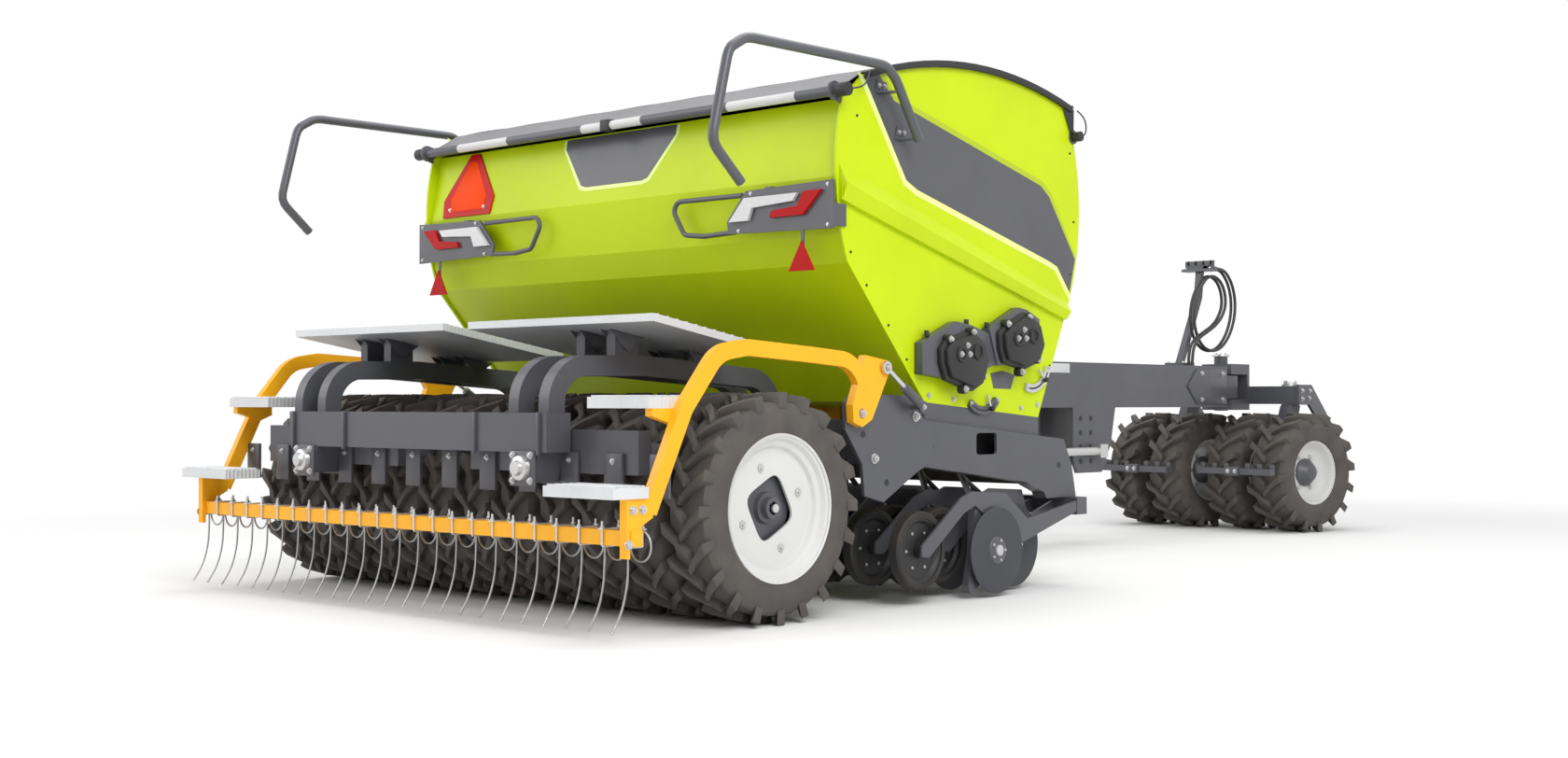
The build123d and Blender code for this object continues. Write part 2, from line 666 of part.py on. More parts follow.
# Rear packer: arches over the tyres, beam, pivots and rocker beams with axle legs
PACKER_BEAM_STATION = (-660.0, -540.0)
PACKER_BEAM_HEIGHT = (660.0, 810.0)
ROCKER_STATION = (-530.0, -470.0)
ROCKER_HEIGHT = (580.0, 745.0)
PIVOT_HEIGHT = 600.0
ARCH_WIDTH = 60.0
ARCH_DEPTH = 80.0
ARCH_BEND = 150.0
ARCH_PATH = [(-600, 810), (-600, 990), (-150, 995), (300, 965), (610, 945), (610, 780)]
PIVOT_RADIUS = 38.0
LEG_OFFSETS = (500.0, 1000.0)
LEG_PLATE = 16.0
LEG_OUTLINE = [
    (ROCKER_STATION[1], 735), (-90, 500), (60, 510), (90, 445), (60, 385), (-90, 385),
    (ROCKER_STATION[1], 590),
]
ARCH_OFFSETS = (660.0, 840.0)
PLATFORM_INNER = 85.0
PLATFORM_OUTER = 1215.0
PLATFORM_SHEET = 30.0
PLATFORM_TOP = [(-420, 1184), (240, 1070)]
PLATFORM_STANDS = ((-300, -180, 1000), (140, 220, 970))
platform_fall = (PLATFORM_TOP[1][1] - PLATFORM_TOP[0][1]) / (PLATFORM_TOP[1][0] - PLATFORM_TOP[0][0])


def platform_underside(station):
    """Give the height of the platforms' underside at a station."""
    return PLATFORM_TOP[0][1] + platform_fall * (station - PLATFORM_TOP[0][0]) - PLATFORM_SHEET


with BuildPart() as packer_arches:
    for side in SIDES:
        for place in ARCH_OFFSETS:
            middle = side * place
            bent_bar_x(ARCH_PATH, ARCH_DEPTH, ARCH_BEND, middle - ARCH_WIDTH / 2, middle + ARCH_WIDTH / 2)
            for rear, front, foot in PLATFORM_STANDS:
                seat = [(rear, platform_underside(rear)), (front, platform_underside(front))]
                prism_x(seat + [(front, foot), (rear, foot)], middle - 25, middle + 25)
finish(packer_arches, "packer_arches")

with BuildPart() as packer_beam:
    block((-880, 880), PACKER_BEAM_STATION, PACKER_BEAM_HEIGHT)
finish(packer_beam, "packer_beam")

with BuildPart() as packer_pivots:
    for side in SIDES:
        x = side * GANG_MIDDLE
        prism_y([(x - 90, 660), (x + 90, 660), (x + 60, 545), (x - 60, 545)], *PACKER_BEAM_STATION)
        rod_y((x, PIVOT_HEIGHT), PIVOT_RADIUS, PACKER_BEAM_STATION[1], ROCKER_STATION[1])
        rod_y((x, PIVOT_HEIGHT), PIVOT_RADIUS, PACKER_BEAM_STATION[0] - 30, PACKER_BEAM_STATION[0])
finish(packer_pivots, "packer_pivots")

with BuildPart() as rocker_beams:
    for side in SIDES:
        x = side * GANG_MIDDLE
        block((side * 250, side * 1250), ROCKER_STATION, ROCKER_HEIGHT)
        block((x - 70, x + 70), ROCKER_STATION, (ROCKER_HEIGHT[0] - 45, ROCKER_HEIGHT[0]))
        rod_y((x, PIVOT_HEIGHT), PIVOT_RADIUS + RUNNING_GAP, *ROCKER_STATION, mode=Mode.SUBTRACT)
finish(rocker_beams, "rocker_beams")

with BuildPart() as axle_legs:
    for side in SIDES:
        for place in LEG_OFFSETS:
            inner, outer = side * place - LEG_PLATE / 2, side * place + LEG_PLATE / 2
            prism_x(LEG_OUTLINE, inner, outer)
            rod_x((0, REAR_TYRE_RADIUS), REAR_SHAFT_RADIUS + RUNNING_GAP, inner, outer, mode=Mode.SUBTRACT)
finish(axle_legs, "axle_legs")

# Tread platforms on stands
with BuildPart() as platforms:
    for side in SIDES:
        sheet_x(PLATFORM_TOP, (0, -PLATFORM_SHEET), side * PLATFORM_INNER, side * PLATFORM_OUTER)
finish(platforms, "platforms")

# Rear gangs: tyres, rims and shafts
rear_tyre = lugged_tyre(REAR_TYRE_RADIUS, REAR_TYRE_WIDTH, REAR_RIM_RADIUS, REAR_LUG_HEIGHT)
inner_rim = plain_rim(REAR_RIM_RADIUS, REAR_TYRE_WIDTH - 40, REAR_SHAFT_RADIUS)
outer_rim = dished_rim(REAR_RIM_RADIUS, REAR_TYRE_WIDTH - 10, REAR_RIM_OPENING, REAR_SHAFT_RADIUS)
for name, side in (("left", -1), ("right", 1)):
    axle_point = (AXLE_Y, REAR_TYRE_RADIUS)
    with BuildPart() as rear_tyres:
        with Locations(*[(side * x, *axle_point) for x in gang_places]):
            add(rear_tyre)
    finish(rear_tyres, f"rear_tyres_{name}")

    with BuildPart() as rear_rims:
        with Locations(*[(side * x, *axle_point) for x in gang_places[:-1]]):
            add(inner_rim)
        with Locations(Location((side * gang_places[-1], *axle_point), (0, 0, 90 * (1 - side)))):
            add(outer_rim)
        rod_x((0, REAR_TYRE_RADIUS), REAR_SHAFT_RADIUS, side * 40, side * (gang_places[-1] + 60))
    finish(rear_rims, f"rear_rims_{name}")

# Front hitch: yoke on the kingpin, cross beam, side plates with lower link eyes
hitch_beam_heights = (HITCH_BEAM_BOTTOM, HITCH_BEAM_BOTTOM + HITCH_BEAM_SIZE)
beam_rear = CASTOR_STATION - HITCH_BEAM_SIZE / 2
beam_front = CASTOR_STATION + HITCH_BEAM_SIZE / 2
with BuildPart() as hitch_yoke:
    block((-110, 110), (KINGPIN_STATION - 60, beam_rear), (800, 870))
    block((-110, 110), (KINGPIN_STATION - 60, beam_rear), (1040, 1110))
    block((-110, 110), (beam_rear - 30, beam_rear), (870, 1040))
    rod_z((0, KINGPIN_STATION), KINGPIN_RADIUS, 795, 1162)
finish(hitch_yoke, "hitch_yoke")

with BuildPart() as hitch_beam:
    block((-HITCH_BEAM_HALF, HITCH_BEAM_HALF), (beam_rear, beam_front), hitch_beam_heights)
    for side in SIDES:
        pin_place = (side * CASTOR_OFFSET, CASTOR_STATION)
        rod_z(pin_place, CASTOR_PIN_RADIUS + RUNNING_GAP, *hitch_beam_heights, mode=Mode.SUBTRACT)
finish(hitch_beam, "hitch_beam")

with BuildPart() as hitch_plates:
    for side in SIDES:
        inner, outer = side * HITCH_BEAM_HALF, side * (HITCH_BEAM_HALF + HITCH_PLATE)
        prism_x(
            [
                (6150, 970), (6330, 970), (6800, 555), (FRONT_REACH, 515), (6800, 475), (6740, 475),
                (6300, 835), (6150, 835),
            ],
            inner, outer,
        )
        eye_inner = inner - side * LINK_EYE_INSIDE
        rod_x(LINK_EYE_AT, LINK_EYE_RADIUS, eye_inner, outer)
        rod_x(LINK_EYE_AT, LINK_HOLE_RADIUS, eye_inner, outer, mode=Mode.SUBTRACT)
finish(hitch_plates, "hitch_plates")

# Castors: pin, leg between the tyres and scraper bar, built straight and then steered to one side
SCRAPER_REACH = 430.0
SCRAPER_SIZE = 40.0
LEG_HALF = 35.0
SCRAPER_ARM_HALF = 12.0
pin_foot = HITCH_BEAM_BOTTOM - 12
axle_rear, axle_front = -CASTOR_TRAIL - 50, -CASTOR_TRAIL + 50
with BuildPart() as leg_blank:
    with BuildSketch(Plane.XY.offset(pin_foot)):
        Circle(CASTOR_PIN_RADIUS)
    extrude(amount=HITCH_BEAM_SIZE + 45)
    with BuildSketch(Plane.XY.offset(pin_foot)):
        Circle(60)
    extrude(amount=12 - RUNNING_GAP)
    with BuildSketch(Plane.YZ.offset(-LEG_HALF)):
        with BuildLine():
            Polyline(
                (60, pin_foot), (-60, pin_foot), (axle_rear - 20, FRONT_TYRE_RADIUS + 40),
                (axle_rear, FRONT_TYRE_RADIUS - 70), (axle_front, FRONT_TYRE_RADIUS - 70), close=True,
            )
        make_face()
    extrude(amount=2 * LEG_HALF)
    with BuildSketch(Plane.YZ.offset(-SCRAPER_ARM_HALF)):
        with BuildLine():
            Polyline(
                (axle_rear, FRONT_TYRE_RADIUS + 30), (-CASTOR_TRAIL - SCRAPER_REACH, FRONT_TYRE_RADIUS + 30),
                (-CASTOR_TRAIL - SCRAPER_REACH, FRONT_TYRE_RADIUS - 10), (axle_rear, FRONT_TYRE_RADIUS - 60),
                close=True,
            )
        make_face()
    extrude(amount=2 * SCRAPER_ARM_HALF)
    with Locations((0, -CASTOR_TRAIL - SCRAPER_REACH, FRONT_TYRE_RADIUS + 10)):
        Box(FRONT_TYRE_PITCH + 240, SCRAPER_SIZE, SCRAPER_SIZE)
    with BuildSketch(Plane.YZ.offset(-LEG_HALF)):
        with Locations((-CASTOR_TRAIL, FRONT_TYRE_RADIUS)):
            Circle(FRONT_SHAFT_RADIUS + RUNNING_GAP)
    extrude(amount=2 * LEG_HALF, mode=Mode.SUBTRACT)

front_tyre = lugged_tyre(FRONT_TYRE_RADIUS, FRONT_TYRE_WIDTH, FRONT_RIM_RADIUS, FRONT_LUG_HEIGHT)
front_rim = dished_rim(FRONT_RIM_RADIUS, FRONT_TYRE_WIDTH - 30, 90, FRONT_SHAFT_RADIUS)
pair_half = FRONT_TYRE_PITCH / 2
with BuildPart() as tyre_pair:
    with Locations((pair_half, 0, 0), (-pair_half, 0, 0)):
        add(front_tyre)
with BuildPart() as rim_pair:
    with Locations((pair_half, 0, 0), Location((-pair_half, 0, 0), (0, 0, 180))):
        add(front_rim)
    with BuildSketch(Plane.YZ):
        Circle(FRONT_SHAFT_RADIUS)
    extrude(amount=pair_half + 60, both=True)

for name, side in (("left", -1), ("right", 1)):
    turned = Location((side * CASTOR_OFFSET, AXLE_Y + CASTOR_STATION, 0), (0, 0, CASTOR_STEER))
    axle_place = turned * Location((0, -CASTOR_TRAIL, FRONT_TYRE_RADIUS))
    with BuildPart() as castor_leg:
        with Locations(turned):
            add(leg_blank.part)
    finish(castor_leg, f"castor_leg_{name}")

    with BuildPart() as front_tyres:
        with Locations(axle_place):
            add(tyre_pair.part)
    finish(front_tyres, f"front_tyres_{name}")

    with BuildPart() as front_rims:
        with Locations(axle_place):
            add(rim_pair.part)
    finish(front_rims, f"front_rims_{name}")

# Hose mast on the drawbar, with a rack and two couplings
COUPLING_RADIUS = 14.0
COUPLING_HEIGHT = 1745.0
with BuildPart() as hose_mast:
    block((-70, 70), (5360, 5500), (DRAWBAR_HEIGHT[1], DRAWBAR_HEIGHT[1] + 20))
    prism_x([(5410, 1110), (5460, 1110), (5690, 1545), (5715, 1722), (5672, 1722), (5650, 1555)], -20, 20)
    block((-107, 107), (5640, 5740), (1722, 1740))
    block((-107, 107), (5690, 5700), (1740, 1795))
    for x in (42, 72):
        rod_y((x, COUPLING_HEIGHT), COUPLING_RADIUS, 5700, 5780)
finish(hose_mast, "hose_mast")

# Rear harrow: arms with step brackets and the beam
HARROW_ARM_PATH = [
    (500, 805), (560, 1010), (203, 1035), (-164, 1056), (-313, 1032), (-481, 829), (-660, 460),
]
ARM_KNEE = [(440, 840), (520, 1040), (660, 1020), (665, 965), (560, 780), (500, 750), (445, 770)]
STEP_BRACKET = 36.0
LOW_STEP_SEAT = 510.0
HIGH_STEP_SEAT = 828.0
beam_span = (HARROW_BEAM_REAR, HARROW_BEAM_REAR + HARROW_BEAM_SIZE)
beam_heights = (HARROW_BEAM_BOTTOM, HARROW_BEAM_BOTTOM + HARROW_BEAM_SIZE)
with BuildPart() as harrow_arms:
    for side in SIDES:
        inner, outer = side * HARROW_ARM_INNER, side * harrow_arm_outer
        bent_bar_x(HARROW_ARM_PATH, HARROW_ARM_DEPTH, HARROW_ARM_BEND, inner, outer)
        prism_x(ARM_KNEE, inner, outer)
        rod_x(HARROW_PIVOT, HARROW_PIN_RADIUS + RUNNING_GAP, inner, outer, mode=Mode.SUBTRACT)
        rod_x(CYLINDER_PIN_AT, CYLINDER_PIN_RADIUS, outer, side * (CYLINDER_SIDE + EYE_WIDTH / 2))
        prism_x(
            [
                (-640, 500), (-690, LOW_STEP_SEAT), (-775, LOW_STEP_SEAT), (-775, 300), (beam_span[0], 300),
                (beam_span[0], beam_heights[1]), (beam_span[1], beam_heights[1]), (beam_span[1], 412),
                (-650, 440),
            ],
            inner, outer,
        )
        prism_x(
            [(-620, HIGH_STEP_SEAT), (-440, HIGH_STEP_SEAT), (-440, 790), (-500, 765), (-620, 800)],
            inner - side * STEP_BRACKET, inner,
        )
finish(harrow_arms, "harrow_arms")

with BuildPart() as harrow_beam:
    harrow_beam_half = harrow_arm_outer + HARROW_BEAM_PASS
    block((-harrow_beam_half, harrow_beam_half), beam_span, beam_heights)
finish(harrow_beam, "harrow_beam")

with BuildPart() as harrow_steps:
    for side in SIDES:
        block((side * 1090, side * HARROW_ARM_INNER), (-640, -446), (HIGH_STEP_SEAT, HIGH_STEP_SEAT + 42))
        block((side * 1090, side * 1468), (-REAR_REACH, -680), (LOW_STEP_SEAT, LOW_STEP_SEAT + 40))
finish(harrow_steps, "harrow_steps")

# Spring tines: a coil seen as a ring on the beam's front face, and a leg that trails to the ground
TINE_TIP = 30.0
tine_coil_height = HARROW_BEAM_BOTTOM
ring_outer = TINE_LOOP_RADIUS + TINE_WIRE / 2
with BuildPart() as harrow_tine:
    with BuildSketch(Plane.XZ.offset(-(AXLE_Y + beam_span[1] + TINE_WIRE))):
        with Locations((0, tine_coil_height)):
            RegularPolygon(ring_outer, 8, major_radius=False, rotation=22.5)
            RegularPolygon(ring_outer - TINE_WIRE, 8, major_radius=False, rotation=22.5, mode=Mode.SUBTRACT)
    extrude(amount=TINE_WIRE)
    bent_bar_x(
        [
            (beam_span[1] + TINE_WIRE / 2 + RUNNING_GAP, tine_coil_height), (beam_span[1] - 2, 200),
            (beam_span[1] - 30, 95), (beam_span[1] - 75, TINE_TIP),
        ],
        TINE_WIRE, 60, -ring_outer, TINE_WIRE - ring_outer,
    )
with BuildPart() as harrow_tines:
    with Locations(*[(x, 0, 0) for x in row_places]):
        add(harrow_tine.part)
finish(harrow_tines, "harrow_tines")

# Harrow lift cylinders: barrels on the packer arms, rods to the arm pins
cylinder_run = Vector(0, CYLINDER_PIN_AT[0] - CYLINDER_FOOT_AT[0], CYLINDER_PIN_AT[1] - CYLINDER_FOOT_AT[1])
cylinder_way = cylinder_run.normalized()


def cylinder_plane(side, travel):
    """Give the plane across a lift cylinder at a distance from its foot pin."""
    foot = Vector(side * CYLINDER_SIDE, AXLE_Y + CYLINDER_FOOT_AT[0], CYLINDER_FOOT_AT[1])
    return Plane(origin=foot + cylinder_way * travel, x_dir=(1, 0, 0), z_dir=cylinder_way)


with BuildPart() as harrow_barrels:
    for side in SIDES:
        rod_x(CYLINDER_FOOT_AT, EYE_RADIUS, side * eye_span[0], side * eye_span[1])
        with BuildSketch(cylinder_plane(side, 20)):
            Circle(BARREL_RADIUS)
        extrude(amount=BARREL_END - 20)
        with BuildSketch(cylinder_plane(side, BARREL_END)):
            Circle(ROD_RADIUS + RUNNING_GAP)
        extrude(amount=35 - BARREL_END, mode=Mode.SUBTRACT)
        bore_ends = [side * place for place in bore_span]
        rod_x(CYLINDER_FOOT_AT, CYLINDER_PIN_RADIUS + RUNNING_GAP, *bore_ends, mode=Mode.SUBTRACT)
finish(harrow_barrels, "harrow_barrels")

with BuildPart() as harrow_rods:
    for side in SIDES:
        rod_x(CYLINDER_PIN_AT, EYE_RADIUS, side * eye_span[0], side * eye_span[1])
        with BuildSketch(cylinder_plane(side, ROD_START)):
            Circle(ROD_RADIUS)
        extrude(amount=cylinder_run.length - ROD_START - CYLINDER_PIN_RADIUS - PIN_GAP)
        bore_ends = [side * place for place in bore_span]
        rod_x(CYLINDER_PIN_AT, CYLINDER_PIN_RADIUS + PIN_GAP, *bore_ends, mode=Mode.SUBTRACT)
finish(harrow_rods, "harrow_rods")

# Hydraulic hoses: out of the drawbar, once round under the rack and up to its couplings
HOSE_RADIUS = 10.0
HOSE_BEND_SHARE = 0.45
HOSE_ROUTE = [
    (5400, 1090), (5400, 1195), (5465, 1270), (5570, 1315), (5680, 1360), (5775, 1420), (5840, 1495),
    (5848, 1580), (5808, 1655), (5730, 1693), (5644, 1681), (5579, 1623), (5520, 1540), (5490, 1430),
    (5505, 1325), (5575, 1235), (5690, 1190), (5830, 1205), (5950, 1290), (6025, 1410), (6040, 1540),
    (5995, 1655), (5910, 1730), (5835, 1745), (5780, 1745),
]
HOSE_SIDES = {
    "hose_left": [84, 84, 92, 100, 100, 90, 81, 73, 66, 60, 54, 49, 45] + [42] * 12,
    "hose_right": [112, 112, 120, 126, 126, 118, 110, 102, 95, 89, 84, 79, 75] + [72] * 12,
}


def hose_bends(points):
    """Give the bend radius at each inner point: as large as its two runs allow."""
    bends = []
    for before, here, after in zip(points, points[1:], points[2:]):
        run_in, run_out = here - before, after - here
        turn = radians(run_in.get_angle(run_out))
        bends.append(HOSE_BEND_SHARE * min(run_in.length, run_out.length) / tan(turn / 2))
    return bends


for name, sides in HOSE_SIDES.items():
    points = [Vector(x, *place) for x, place in zip(sides, outline(HOSE_ROUTE))]
    bends = hose_bends(points)
    print(name, "bend radii", [round(bend) for bend in bends])
    with BuildPart() as hose:
        with BuildLine() as route:
            FilletPolyline(*points, radius=bends)
        with BuildSketch(Plane(origin=route.wire() @ 0, z_dir=route.wire() % 0)):
            Circle(HOSE_RADIUS)
        sweep(path=route.wire())
    share = hose.part.volume / (route.wire().length * pi * HOSE_RADIUS**2)
    print(name, "length", round(route.wire().length), "volume share", round(share, 4))
    finish(hose, name)
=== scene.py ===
import json
import logging
from collections.abc import Iterable
from dataclasses import dataclass, field
from enum import Enum
from math import cos, pi, radians, sin, sqrt

import bmesh
import bpy
from mathutils import Matrix, Vector


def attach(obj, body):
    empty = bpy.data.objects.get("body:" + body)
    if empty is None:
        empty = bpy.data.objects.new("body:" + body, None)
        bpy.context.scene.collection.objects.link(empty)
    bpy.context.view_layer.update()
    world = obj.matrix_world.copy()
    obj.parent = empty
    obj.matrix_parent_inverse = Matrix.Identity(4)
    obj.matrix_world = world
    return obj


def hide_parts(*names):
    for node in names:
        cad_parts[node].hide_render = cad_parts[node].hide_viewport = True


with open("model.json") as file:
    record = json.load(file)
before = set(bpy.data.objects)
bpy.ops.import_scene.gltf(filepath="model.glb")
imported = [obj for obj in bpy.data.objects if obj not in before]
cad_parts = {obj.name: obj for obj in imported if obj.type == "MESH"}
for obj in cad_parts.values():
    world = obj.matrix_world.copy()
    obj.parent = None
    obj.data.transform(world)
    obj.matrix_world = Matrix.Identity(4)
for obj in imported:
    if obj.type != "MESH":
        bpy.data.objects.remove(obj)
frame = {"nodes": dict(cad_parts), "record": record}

log = logging.getLogger("seed_drill")
AXLE_Y = -2.985
Point = tuple[float, float]
Colour = tuple[float, float, float]
DUST: Colour = (0.02, 0.015, 0.01)
RIGHTWARD = Vector((1, 0, 0))
REARWARD = Vector((0, -1, 0))
UPWARD = Vector((0, 0, 1))


class Side(Enum):
    """The two sides of the machine, with the sign of X on each."""

    LEFT = -1
    RIGHT = 1


class Pattern(Enum):
    """What the surface of a finish shows close up."""

    SPRAYED = "sprayed"
    DUSTY = "dusty"
    WOVEN = "woven"
    TREAD = "tread"
    BRUSHED = "brushed"


@dataclass(frozen=True)
class Finish:
    """A procedural surface: base colour with mottling, roughness and close-up relief."""

    name: str
    colour: Colour
    pattern: Pattern = Pattern.SPRAYED
    roughness: float = 0.38
    metal: float = 0.0
    coat: float = 0.0
    shine: float = 0.5
    mottle: float = 0.07
    relief: float = 0.06
    grain: float = 160.0

    def material(self) -> bpy.types.Material:
        """Give the finish's material, built on first use.

        Returns:
            The node material.
        """
        known = bpy.data.materials.get(self.name)
        if known:
            return known
        material = bpy.data.materials.new(self.name)
        material.use_nodes = True
        tree = material.node_tree
        shader = tree.nodes["Principled BSDF"]
        shader.inputs["Metallic"].default_value = self.metal
        shader.inputs["Specular IOR Level"].default_value = self.shine
        shader.inputs["Coat Weight"].default_value = self.coat
        shader.inputs["Coat Roughness"].default_value = 0.12
        where = tree.nodes.new("ShaderNodeTexCoord")
        cloud = self._noise(tree, where, 2.6 if self.pattern is not Pattern.DUSTY else 9.0, 6.0)
        ramp = tree.nodes.new("ShaderNodeValToRGB")
        low, high = ramp.color_ramp.elements
        low.position, high.position = 0.32, 0.68
        low.color = (*[part * (1 - self.mottle) for part in self.colour], 1)
        high.color = (*[min(1.0, part * (1 + self.mottle)) for part in self.colour], 1)
        if self.pattern is Pattern.DUSTY:
            dusted = zip(self.colour, DUST)
            high.color = (*[part * (1 + self.mottle) + lift for part, lift in dusted], 1)
        tree.links.new(cloud.outputs["Fac"], ramp.inputs["Fac"])
        tree.links.new(ramp.outputs["Color"], shader.inputs["Base Color"])
        wear = self._noise(tree, where, 14.0, 4.0)
        span = tree.nodes.new("ShaderNodeMapRange")
        span.inputs["To Min"].default_value = max(0.05, self.roughness - 0.08)
        span.inputs["To Max"].default_value = min(1.0, self.roughness + 0.08)
        tree.links.new(wear.outputs["Fac"], span.inputs["Value"])
        tree.links.new(span.outputs["Result"], shader.inputs["Roughness"])
        bump = tree.nodes.new("ShaderNodeBump")
        bump.inputs["Strength"].default_value = self.relief
        bump.inputs["Distance"].default_value = 0.004
        tree.links.new(self._height(tree, where), bump.inputs["Height"])
        tree.links.new(bump.outputs["Normal"], shader.inputs["Normal"])
        return material

    @staticmethod
    def _noise(
        tree: bpy.types.NodeTree, where: bpy.types.Node, scale: float, detail: float
    ) -> bpy.types.Node:
        """Add a noise texture on object coordinates.

        Args:
            tree: The material's nodes.
            where: The texture coordinate node.
            scale: Spots per metre.
            detail: Octaves of the noise.

        Returns:
            The noise node.
        """
        noise = tree.nodes.new("ShaderNodeTexNoise")
        noise.inputs["Scale"].default_value = scale
        noise.inputs["Detail"].default_value = detail
        tree.links.new(where.outputs["Object"], noise.inputs["Vector"])
        return noise

    def _height(self, tree: bpy.types.NodeTree, where: bpy.types.Node) -> bpy.types.NodeSocket:
        """Add the nodes of the close-up relief.

        Args:
            tree: The material's nodes.
            where: The texture coordinate node.

        Returns:
            The socket that carries the height.
        """
        if self.pattern not in (Pattern.WOVEN, Pattern.TREAD):
            grain = self._noise(tree, where, self.grain, 3.0)
            if self.pattern is Pattern.BRUSHED:
                stretch = tree.nodes.new("ShaderNodeMapping")
                stretch.inputs["Scale"].default_value = (0.06, 1.0, 1.0)
                tree.links.new(where.outputs["Object"], stretch.inputs["Vector"])
                tree.links.new(stretch.outputs["Vector"], grain.inputs["Vector"])
            return grain.outputs["Fac"]
        both = tree.nodes.new("ShaderNodeMath")
        both.operation = "MULTIPLY" if self.pattern is Pattern.TREAD else "ADD"
        for index, direction in enumerate(("X", "Y")):
            wave = tree.nodes.new("ShaderNodeTexWave")
            wave.bands_direction = direction
            wave.inputs["Scale"].default_value = self.grain
            wave.inputs["Distortion"].default_value = 0.3
            tree.links.new(where.outputs["Object"], wave.inputs["Vector"])
            tree.links.new(wave.outputs["Fac"], both.inputs[index])
        return both.outputs["Value"]


LIME = Finish(
    "hopper_lime", (0.54, 0.695, 0.002), roughness=0.4, coat=0.04, shine=0.25, mottle=0.035, relief=0.02
)
LIME_TRIM = Finish("light_lime_trim", (0.80, 0.95, 0.30), roughness=0.35, mottle=0.03, relief=0.02)
# Darker copy of the hopper lime: painted shade on the upper border of the end plates' band.
PAINTED_SHADE_LIME = Finish("painted_shade_lime_trim", (0.42, 0.53, 0.006), roughness=0.4, mottle=0.03, relief=0.02)
GREY = Finish("dark_grey_paint", (0.077, 0.078, 0.090), roughness=0.42, coat=0.15, relief=0.04)
YELLOW = Finish(
    "frame_yellow", (1.0, 0.45, 0.012), roughness=0.36, coat=0.1, shine=0.3, mottle=0.05, relief=0.03
)
WHITE = Finish(
    "white_rim_paint", (0.66, 0.66, 0.65), roughness=0.36, coat=0.1, shine=0.3, mottle=0.03, relief=0.03
)
RUBBER = Finish("tyre_rubber", (0.068, 0.062, 0.058), Pattern.DUSTY, roughness=0.72, relief=0.25, grain=90.0)
PRESS = Finish(
    "press_wheel_rubber", (0.024, 0.023, 0.024), Pattern.DUSTY, roughness=0.62, shine=0.3, relief=0.2,
    grain=120.0,
)
ZINC = Finish("galvanised_tread", (0.66, 0.67, 0.68), Pattern.TREAD, 0.42, 0.35, relief=0.35, grain=16.0)
BOLT = Finish("zinc_plated", (0.60, 0.60, 0.60), Pattern.BRUSHED, 0.33, 0.85, relief=0.05)
SPRING = Finish("spring_steel", (0.40, 0.40, 0.40), Pattern.BRUSHED, 0.36, 0.8, relief=0.06)
DISC = Finish("blade_steel", (0.075, 0.076, 0.084), Pattern.BRUSHED, 0.5, shine=0.1, relief=0.08)
PLASTIC = Finish("moulded_black", (0.016, 0.016, 0.017), roughness=0.5, relief=0.2, grain=420.0)
TARP = Finish("tarpaulin", (0.018, 0.018, 0.02), Pattern.WOVEN, 0.6, relief=0.25, grain=180.0)
FLAP = Finish("grey_tarpaulin", (0.20, 0.20, 0.21), Pattern.WOVEN, 0.55, relief=0.2, grain=180.0)
RED_LENS = Finish("red_lens", (0.46, 0.008, 0.009), roughness=0.35, shine=0.12, relief=0.1, grain=300.0)
CLEAR_LENS = Finish("clear_lens", (0.58, 0.58, 0.59), roughness=0.15, coat=0.6, relief=0.1, grain=300.0)
ORANGE = Finish("sign_face_orange", (1.0, 0.07, 0.001), roughness=0.4, shine=0.1, mottle=0.03, relief=0.05)
SIGN_RED = Finish(
    "sign_red_border", (0.55, 0.006, 0.008), roughness=0.35, shine=0.15, mottle=0.03, relief=0.05
)
TUBE = Finish("seed_tube_plastic", (0.05, 0.05, 0.052), roughness=0.45, relief=0.3, grain=60.0)
HOSE = Finish("hydraulic_hose", (0.026, 0.026, 0.027), roughness=0.48, relief=0.15, grain=260.0)

NODE_FINISHES: dict[str, Finish] = {
    "lime_paint": LIME, "grey_paint": GREY, "yellow_paint": YELLOW, "white_paint": WHITE, "tyre": RUBBER,
    "galvanised": ZINC, "steel": BOLT, "disc_steel": DISC, "press_rubber": PRESS, "black_plastic": PLASTIC,
    "tarp": TARP, "flap": FLAP, "lamp_red": RED_LENS, "lamp_white": CLEAR_LENS, "sign_orange": SIGN_RED,
    "seed_tube": TUBE, "hose": HOSE,
}


def spot(x: float, station: float, height: float) -> Vector:
    """Give a point of the machine's frame from its distance ahead of the rear axle."""
    return Vector((x, AXLE_Y + station, height))


def side_view(x: float, outline: Iterable[Point]) -> list[Vector]:
    """Give the points of an outline drawn in the side view, at a distance to the right."""
    return [spot(x, station, height) for station, height in outline]


def mirrored(right: list[Point]) -> list[Point]:
    """Give an outline from its right half, by adding the left half."""
    return right + [(-x, height) for x, height in reversed(right)]


def along(direction: Vector) -> Matrix:
    """Give the turn that takes the Z axis to a direction."""
    return direction.to_track_quat("Z", "Y").to_matrix().to_4x4()


